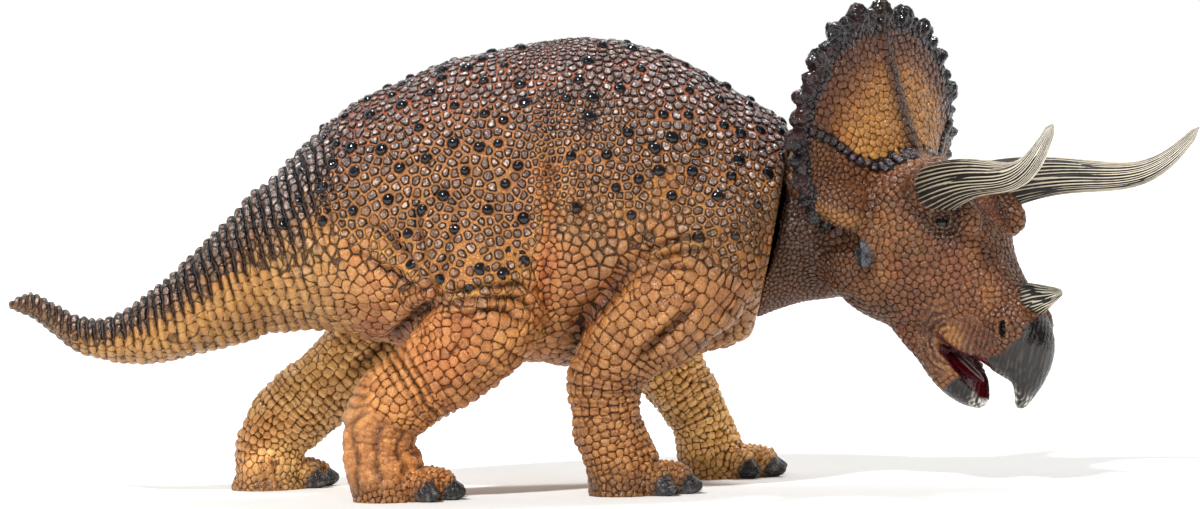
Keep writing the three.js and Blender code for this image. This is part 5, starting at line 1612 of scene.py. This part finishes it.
# Mouth lining: a moulded tongue painted crimson and lacquered wet
tongueLook = {"start": 35, "length": 12.5, "halfWidth": 3.6, "level": -13.2, "around": 32, "rows": 30,
              "specks": 700, "detail": 3, "colours": [(0.3, "#33040b"), (0.75, "#640e19")]}
tonguePvc, tree, speck, colour = specked("pvc_moulded_lacquered_mouth", tongueLook)
bump = addNode(tree, "Bump", Strength=0.3, Distance=0.0002, Height=speck)
shader = addNode(tree, "BsdfPrincipled", BaseColor=colour, Roughness=0.3, IOR=1.5, Normal=bump, SpecularIORLevel=0.3)
addNode(tree, "OutputMaterial", Surface=shader)
rings = []
turn = np.arange(tongueLook["around"]) / tongueLook["around"] * 2 * np.pi
for t in np.linspace(0, 1, tongueLook["rows"]):
    wide = tongueLook["halfWidth"] * math.sqrt(max(1 - (2 * t - 1) ** 2 * 0.98, 0.02)) * (1 - 0.25 * t)
    lift = np.where(np.sin(turn) > 0, 1.5, 0.9) * np.sin(turn) * wide / tongueLook["halfWidth"]
    lift = lift - 0.5 * hill(np.cos(turn) * wide, 0, 0.9) * (np.sin(turn) > 0) * min(1, wide / 3)
    rings.append(np.stack([np.full(len(turn), tongueLook["start"] + tongueLook["length"] * t), np.cos(turn) * wide,
                           tongueLook["level"] - 1.6 * t + 2.2 * t * t + lift], 1))
addPiece("tongue", loftMesh("tongue", placed(loft(rings))), tonguePvc, "head_group", "mouth_lining")

# Camera and light

view = {"distance": 1.4, "elevation": 2.0, "roll": 1.5, "aim": (0.00025, 0, 0.0595), "frameWidth": 0.300,
        "sensor": 36, "farthest": 20}
camera = linked("camera", bpy.data.cameras.new("camera"))
camera.data.sensor_width = view["sensor"]
camera.data.lens = view["sensor"] * view["distance"] / view["frameWidth"]
lift = math.radians(view["elevation"])
toCamera = Vector((0, -math.cos(lift), math.sin(lift)))
camera.location = Vector(view["aim"]) + toCamera * view["distance"]
camera.rotation_mode = "QUATERNION"
facing = (-toCamera).to_track_quat("-Z", "Y")
camera.rotation_quaternion = facing @ Quaternion((0, 0, 1), math.radians(-view["roll"]))
camera.data.clip_end = view["farthest"]
bpy.context.scene.camera = camera

stageLook = {
    "floorHalf": 6, "floorColour": "#f2f2f0",
    # where each light comes from, its angle in degrees and its strength
    "keyLight": ((-0.35, -0.7, 0.85), 5, 3.25),
    "fillLight": ((0.3, -0.94, 0.1), 16, 1.05),
    "backLight": ((0.15, 0.35, 0.95), 8, 1.6),
}
floorCorners = np.array([[-1, -1, 0], [1, -1, 0], [1, 1, 0], [-1, 1, 0]], float) * stageLook["floorHalf"]
floor = linked("floor", newMesh("floor", floorCorners, np.array([[0, 1, 2, 3]])))
floorPaper, tree = newMaterial("paper_matt_backdrop")
shader = addNode(tree, "BsdfPrincipled", BaseColor=stageLook["floorColour"], Roughness=0.9, SpecularIORLevel=0.1)
addNode(tree, "OutputMaterial", Surface=shader)
floor.data.materials.append(floorPaper)
floor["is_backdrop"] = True

world = bpy.data.worlds.new("studio")
bpy.context.scene.world = world
world.use_nodes = True
world.node_tree.nodes.clear()
# a pale wall of light behind the figure, greyer before it, so that dark paint stays dark
across = addNode(world.node_tree, "SeparateXYZ",
                 Vector=addNode(world.node_tree, "TexCoord").outputs["Generated"]).outputs["Y"]
wall = addNode(world.node_tree, "MapRange", eased, Value=across, FromMin=-0.1, FromMax=0.55, ToMin=0.2, ToMax=1.0)
light = addNode(world.node_tree, "Background", Color="#ffffff", Strength=wall)
addNode(world.node_tree, "OutputWorld", Surface=light)
for name in ("keyLight", "fillLight", "backLight"):
    toward, spreadAngle, power = stageLook[name]
    lamp = linked(name, bpy.data.lights.new(name, "SUN"))
    lamp.data.angle = math.radians(spreadAngle)
    lamp.data.energy = power
    lamp.visible_glossy = name != "fillLight"      # a wide soft fill lifts the paint without a grey sheen on it
    lamp.rotation_mode = "QUATERNION"
    lamp.rotation_quaternion = (-Vector(toward)).to_track_quat("-Z", "Y")
bpy.context.scene.view_settings.view_transform = "Standard"

print("scene done")
low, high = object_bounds()
